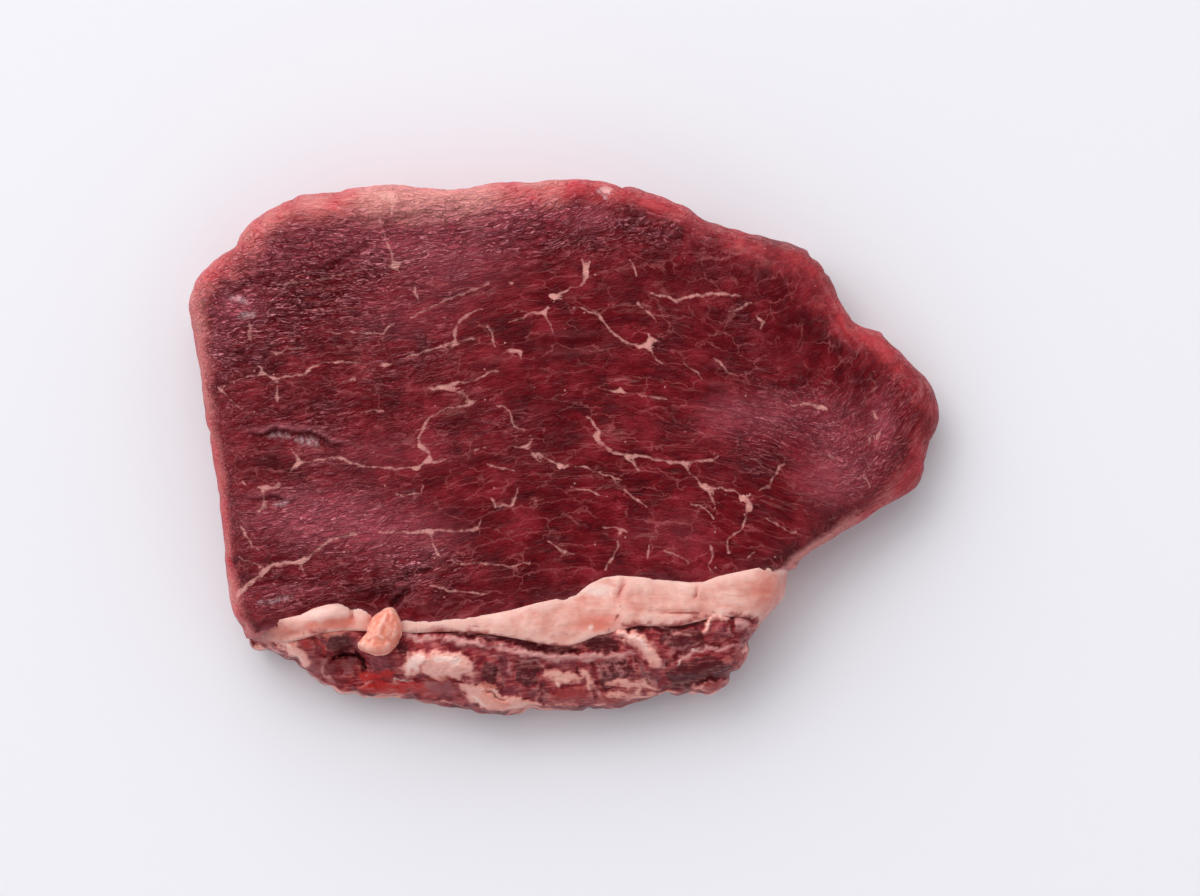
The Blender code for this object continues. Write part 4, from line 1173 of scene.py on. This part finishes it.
# Pale fat and membrane, with painted glints on the wet red meat: (width, points)
stripPaleFatAndGlints = [
    (2.2, (-37.4, -52.4), (-35.6, -50.2), (-34.2, -49.4)),
    (2.0, (-31.0, -49.8), (-28.0, -50.2), (-25.0, -50.2)),
    (0.8, (-66.8, -45.0), (-64.6, -48.0)), (0.9, (-1.9, -56.0), (-1.2, -56.0)),
    (0.9, (13.6, -43.7), (17.6, -45.2), (19.6, -47.6)),
    (0.7, (35.2, -39.9), (33.8, -42.0)), (0.5, (-43.4, -57.0), (-41.2, -55.5), (-38.6, -54.9),
                                          (-36.4, -55.5)),
    (0.8, (-14.0, -62.2), (-9.0, -60.9)), (0.7, (-4.0, -61.9), (4.0, -62.1)),
    (0.7, (30.2, -48.2), (32.2, -47.6)),
    (0.6, (26.7, -51.4), (27.6, -50.2)), (0.5, (-49.4, -56.6), (-46.4, -55.6)),
    (0.35, (-48.6, -58.0), (-45.6, -56.8)),
    (0.8, (-22.4, -59.2), (-18.6, -61.6)), (0.6, (-18.0, -58.6), (-16.0, -57.4)),
]
stripFilm = [
    (1.2, (-74.2, -43.9), (-71.6, -47.0), (-67.0, -49.3)),
    (1.4, (-38.4, -43.7), (-35.0, -45.0), (-31.0, -45.2)),
    (1.8, (-30.0, -44.8), (-24.0, -45.6), (-19.0, -46.6)),
    (1.9, (-19.0, -46.8), (-12.0, -47.6), (-8.0, -48.6), (-2.0, -49.6), (5.0, -49.6), (12.0, -49.1),
     (17.0, -48.6)),
    (0.5, (-11.4, -49.8), (-7.0, -51.0), (-2.8, -53.0)), (0.7, (-15.6, -50.6), (-15.2, -56.6)),
    (0.5, (-13.0, -50.0), (-13.2, -54.0)), (0.35, (15.0, -49.2), (12.0, -53.2)),
    (0.35, (13.0, -49.2), (8.4, -52.0)),
    (0.4, (11.0, -50.2), (14.6, -55.4)), (0.35, (9.0, -50.4), (11.0, -54.4)),
    (0.8, (17.6, -50.4), (18.6, -53.4), (21.0, -55.6), (23.4, -57.6)), (0.4, (6.6, -50.6), (9.4, -54.8)),
    (0.4, (16.4, -49.4), (16.6, -53.0)), (0.9, (-57.2, -49.8), (-57.8, -53.0), (-55.8, -56.6)),
    (1.2, (26.6, -51.4), (28.2, -49.5), (31.2, -48.0), (36.0, -47.4), (43.0, -46.8)),
    (0.4, (24.8, -47.6), (29.4, -46.8)),
    (0.4, (25.0, -43.6), (27.6, -43.4)), (0.5, (38.6, -41.6), (39.3, -44.6)),
    (2.2, (40.4, -40.6), (43.2, -42.6)),
    (2.0, (20.6, -50.2), (24.0, -52.0)), (0.4, (21.6, -49.8), (26.0, -50.6)),
    (0.4, (-18.6, -49.0), (-16.0, -49.8)),
    (0.6, (6.4, -56.0), (8.6, -59.6)), (0.5, (-5.6, -57.0), (-4.8, -60.4)),
]
stripDark = [
    (4.0, (-57.0, -46.2), (-51.5, -46.4)), (2.6, (-39.0, -46.0), (-38.0, -49.0)),
    (1.0, (-36.0, -42.9), (-30.0, -43.1), (-24.0, -43.7)),
    (1.8, (-24.0, -43.7), (-18.0, -44.3), (-12.0, -45.4)),
    (2.4, (-12.0, -45.6), (-6.0, -47.0), (-1.0, -47.6), (2.6, -47.4)),
    (3.2, (5.4, -47.0), (8.8, -46.2), (12.4, -46.7)), (2.2, (14.2, -41.8), (19.6, -42.2)),
    (2.0, (20.4, -42.4), (25.0, -42.6), (28.6, -41.4), (33.0, -40.8)),
    (3.6, (22.6, -44.6), (27.0, -45.4), (31.4, -44.4)),
    (2.4, (30.6, -42.6), (32.6, -45.6)), (1.0, (36.4, -38.8), (40.0, -38.9), (43.8, -40.4)),
    (3.8, (-18.6, -51.6), (-17.4, -55.4)),
    (4.6, (-11.4, -52.2), (-7.0, -55.0)), (1.6, (-12.0, -50.6), (-6.0, -51.2)),
    (1.6, (3.1, -52.2), (3.4, -52.4)),
    (5.0, (8.2, -52.4), (15.6, -52.8)), (2.4, (8.0, -55.4), (12.0, -56.4)),
    (3.0, (18.6, -53.8), (21.6, -57.2)),
    (5.2, (25.0, -54.6), (31.0, -53.2), (38.0, -51.2)), (2.6, (25.0, -57.0), (30.0, -56.6)),
]
stripBrown = [
    (4.6, (-75.4, -45.6), (-73.0, -46.2)), (2.6, (-62.4, -48.6), (-60.4, -52.4), (-57.4, -55.8),
                                            (-54.6, -57.2)),
    (2.8, (-57.8, -50.4), (-56.4, -55.0)), (6.0, (-53.4, -52.2), (-52.2, -53.2)),
    (3.0, (-33.5, -56.6), (-26.5, -57.6)),
    (1.4, (-40.0, -59.3), (-30.0, -60.8), (-20.0, -63.4)), (1.8, (-52.0, -47.4), (-46.0, -46.6)),
    (2.4, (-8.2, -57.2), (-7.0, -59.2)),
    (3.4, (24.0, -45.0), (30.0, -47.2)),
]
stripMauve = [
    (4.6, (-47.4, -50.0), (-42.4, -51.6)), (2.4, (-30.0, -45.2), (-24.0, -46.0), (-18.0, -47.6)),
    (2.2, (-17.0, -48.4), (-14.5, -50.0), (-14.0, -54.5)), (2.0, (-15.0, -57.6), (-10.5, -57.8)),
    (2.6, (-3.5, -50.8), (2.5, -51.6)),
    (4.4, (36.4, -42.8), (37.4, -43.8)), (2.6, (12.0, -46.8), (11.0, -46.6)),
    (3.0, (21.0, -53.0), (21.5, -56.5)),
]
stripRosy = [
    (3.4, (-62.4, -44.2), (-61.6, -47.4)), (0.9, (-59.0, -45.4), (-57.6, -49.0)),
    (1.3, (-64.2, -51.0), (-61.0, -53.9)),
    (2.2, (-33.0, -54.9), (-26.5, -54.9)), (3.0, (-36.0, -57.6), (-30.0, -58.6)),
    (3.4, (-3.6, -59.2), (5.6, -58.8)),
    (3.4, (7.4, -60.0), (14.0, -60.6)), (2.0, (12.2, -57.0), (15.6, -57.8)),
    (2.0, (18.8, -58.0), (20.4, -57.9)),
    (3.0, (32.4, -57.0), (37.6, -56.0)), (3.4, (44.2, -42.6), (46.8, -42.0)),
    (2.2, (42.6, -48.0), (41.6, -52.4)),
    (1.2, (-36.0, -46.0), (-33.6, -46.3)),
]
# Painted shade in the deep cracks and pits: (width, points)
stripCaveShade = [
    (1.3, (-56.2, -49.8), (-53.8, -48.9), (-50.6, -49.1), (-48.9, -50.6), (-48.1, -52.8)),
    (0.5, (-45.9, -49.6), (-45.5, -49.8)),
    (0.35, (-19.0, -57.6), (-17.0, -59.4), (-15.2, -59.9)),
]
stripRed = [
    (1.5, (-49.4, -54.4), (-45.0, -54.3), (-41.0, -53.9)),
    (3.8, (-49.4, -57.4), (-44.0, -57.8), (-38.0, -57.4)),
    (2.0, (-40.6, -56.6), (-36.8, -56.6), (-33.6, -57.4)), (0.7, (-59.0, -45.2), (-57.5, -49.0)),
    (0.9, (-62.6, -44.4), (-61.8, -46.6)),
]

stripLook = {
    "deep": "#620F18", "mid": "#8E272E", "light": "#C25653",
    "streak": (0.16, 0.95, 0.4), "streaky": 0.45, "mottle": 420.0, "fine": 1300.0,
    "hair": (0.25, 2.2, 0.9), "hairy": 0.3, "fray": 0.8,
    "relief": 0.5, "roughness": 0.38, "glow": 0.08, "wet": 0.27,
    "layers": [("rosy", "#A33A38", 0.8, 0.35, 0.5), ("brown", "#984E52", 0.8, 0.4, 0.55),
               ("mauve", "#7A303C", 0.65, 0.4, 0.55), ("dark", "#500B14", 0.9, 0.35, 0.45),
               ("film", "#BE6F6E", 0.7, 0.4, 0.4), ("film", "#E2B0A9", 0.55, 0.35, 0.8),
               ("fat", "#C26C68", 0.8, 0.3, 0.25), ("fat", "#EC9F92", 0.9, 0.25, 0.5),
               ("fat", "#F6BBAD", 0.8, 0.3, 0.85),
               # the pale layer carries painted glints as well as pale fat
               ("orange", "#E38672", 0.7, 0.4, 0.6), ("pale", "#F6D2C8", 0.85, 0.4, 0.6),
               # painted highlight on the crests, painted shade in the hollows and caves
               ("red", "#BE2723", 0.85, 0.4, 0.45), ("crestHighlight", "#E8AFA6", 0.35, 0.5, 0.5),
               ("hollowShade", "#560C13", 0.4, 0.5, 0.5), ("caveShade", "#22040A", 0.92, 0.35, 0.5)],
}


def shapeStrip(piece, s, joint):
    points, normals = readPoints(piece)
    x, y, z = points.T
    up = ease(normals[:, 2], 0.1, 0.6)
    side = 1 - ease(np.abs(normals[:, 2]), 0.2, 0.8)
    along, across = grainAt(x, y)
    swayX = x + 0.9 * lumps(x, y + z * 0.5, 3.4, 21) + 0.5 * lumps(x, y, 1.5, 27) + 0.3 * lumps(x, y, 0.8, 28)
    swayY = y + 0.8 * lumps(x + z * 0.5, y, 3.0, 22) + 0.45 * lumps(x, y, 1.3, 29)
    swayY += 0.25 * lumps(x, y, 0.7, 30)
    swayY -= 0.25 * (1 - up) * (14 - z)
    lift = s["lumps"] * lumps(x, y, 5, 23) + s["fibres"] * lumps(along / 3, across, 1.3, 24)
    lift += s["fatRise"] * strokes(swayX, swayY, stripFat, 1.0)
    lift -= s["darkSink"] * strokes(swayX, swayY, stripDark, 1.0)
    for height, width, *line in stripForms:
        awayX, awayY, away, half, others = nearestLine(swayX, swayY, [(width, *line)])
        lift += height * np.exp(-(away / (width / 2)) ** 2)
    z += up * (lift * (1 - 0.6 * joint) - 0.45 * joint)
    bulge = 0.5 + 0.6 * lumps(x + z * 0.7, y - z * 0.7, 8, 25) + 0.35 * lumps(x + z, y - z, 2.8, 26)
    points[:, :2] += normals[:, :2] * (side * bulge)[:, None]
    points[:, :2] += normals[:, :2] * (side * 0.4 * lumps(x, y, 2.4, 45) * ease(z, 4, 10))[:, None]
    dentOutline(points, normals, side, stripNicks)
    z[:] = np.maximum(z, 0.0)
    writePoints(piece, points)
    paint(piece, "grain", np.stack([along, across, z], 1))
    wall = side * ease(14.5 - z, 0, 3)
    wallFat = ease(lumps(x + 0.4 * y, z * 1.9, 11, 41) + 0.5 * lumps(x - 0.3 * y, z * 1.4, 4.5, 42), 0.1, 0.5)
    wallDark = ease(lumps(x + 0.3 * y, z * 2.2, 9, 43) + 0.5 * lumps(x, z * 2, 4, 44), 0.12, 0.5)
    for name, lines, soft in (("fat", stripFat, 2.4), ("orange", stripOrange, 2.4), ("pale", stripPaleFatAndGlints, 1.6),
                              ("film", stripFilm, 1.6), ("dark", stripDark, 2.2), ("brown", stripBrown, 2.4),
                              ("mauve", stripMauve, 2.4), ("rosy", stripRosy, 2.2), ("caveShade", stripCaveShade, 1.2),
                              ("red", stripRed, 2.2)):
        amount = strokes(swayX, swayY, lines, soft) * (1 - 0.8 * wall)
        if name == "fat":
            amount = np.maximum(amount, 0.85 * wallFat * wall)
        if name == "dark":
            amount = np.maximum(amount, 0.8 * wallDark * (1 - wallFat) * wall)
        paint(piece, name, amount)
    paintReliefShading(piece, 12, 0.45)


# The small flap of soft fat on top

nub = {"voxel": 0.36, "smoothing": 5}

nubForms = [
    (-0.6, 0.9, (-48.6, -45.0), (-46.6, -45.4)), (0.6, 2.4, (-43.4, -40.6), (-44.4, -43.6)),
    (-0.25, 0.8, (-40.6, -40.6), (-40.9, -43.0), (-42.0, -45.4)), (0.5, 1.8, (-48.4, -46.8), (-45.0, -47.4)),
    (-0.35, 0.8, (-42.4, -38.0), (-41.6, -39.8)), (0.4, 1.4, (-42.8, -47.4), (-42.0, -46.0)),
]

nubLook = {
    "deep": "#E27C66", "mid": "#EB917C", "light": "#F3AB97",
    "streak": (0.3, 0.5, 0.4), "streaky": 0.3, "mottle": 300.0, "fine": 1600.0,
    "hair": (0.5, 1.4, 0.8), "hairy": 0.15, "fray": 0.5,
    "relief": 0.5, "roughness": 0.38, "glow": 0.22, "wet": 0.4,
    # painted shade on the side away from the light, painted highlight on the crests and painted shade in the
    # hollows
    "layers": [("shade", "#DC7868", 0.6, 0.5, 0.5), ("crestHighlight", "#FAC9BA", 0.6, 0.5, 0.5),
               ("hollowShade", "#D0705F", 0.6, 0.5, 0.5)],
}


def shapeNub(piece):
    points, normals = readPoints(piece)
    x, y, z = points.T
    up = ease(normals[:, 2], 0.1, 0.6)
    along, across = grainAt(x, y)
    lift = 0.35 * lumps(x, y, 2.4, 31) + 0.2 * lumps(x, y, 1.1, 32) + 0.1 * lumps(x, y, 0.6, 34)
    for height, width, *line in nubForms:
        awayX, awayY, away, half, others = nearestLine(x, y, [(width, *line)])
        lift += height * np.exp(-(away / (width / 2)) ** 2)
    z += up * lift - 0.5
    points[:, :2] += normals[:, :2] * ((1 - up) * (0.2 + 0.35 * lumps(x + z, y - z, 1.8, 33)))[:, None]
    writePoints(piece, points)
    paintReliefShading(piece, 10, 0.25)
    paint(piece, "grain", np.stack([along, across, z], 1))
    # painted shade: darker towards the lower right, away from the light
    paint(piece, "shade", ease((x + 44.0) * 0.6 - (y + 43.5) * 0.5, -0.5, 4.0))


makeStudio(studio)

bigMuscle = takeSolid("main_muscle", "bigMuscle", mainMuscle["voxel"], mainMuscle["smoothing"])
refineTop(bigMuscle, 8.0)
knitTo(bigMuscle, ["fat_seam"], 0.5)
shapeMainMuscle(bigMuscle, mainMuscle)
finishPiece(bigMuscle, leanMaterial(leanLook), "main_muscle")

hardFat = takeSolid("fat_seam", "hardFat", seam["voxel"], seam["smoothing"])
joint = knitTo(hardFat, ["main_muscle", "lower_muscle"], 0.5)
shapeSeam(hardFat, seam, joint)
finishPiece(hardFat, softMaterial("raw hard beef fat", seamLook), "fat_seam")

smallMuscle = takeSolid("lower_muscle", "smallMuscle", strip["voxel"], strip["smoothing"])
refineTop(smallMuscle, 8.0)
joint = knitTo(smallMuscle, ["fat_seam"], 0.5)
shapeStrip(smallMuscle, strip, joint)
finishPiece(smallMuscle, softMaterial("raw lean and fat", stripLook), "lower_muscle")

flap = takeSolid("fat_nub", "flap", nub["voxel"], nub["smoothing"])
shapeNub(flap)
finishPiece(flap, softMaterial("raw soft beef fat", nubLook), "fat_nub")

for corner, box in (("cad", cadBox), ("visual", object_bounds())):
    print(corner, [round(value / mm, 2) for end in box for value in end])
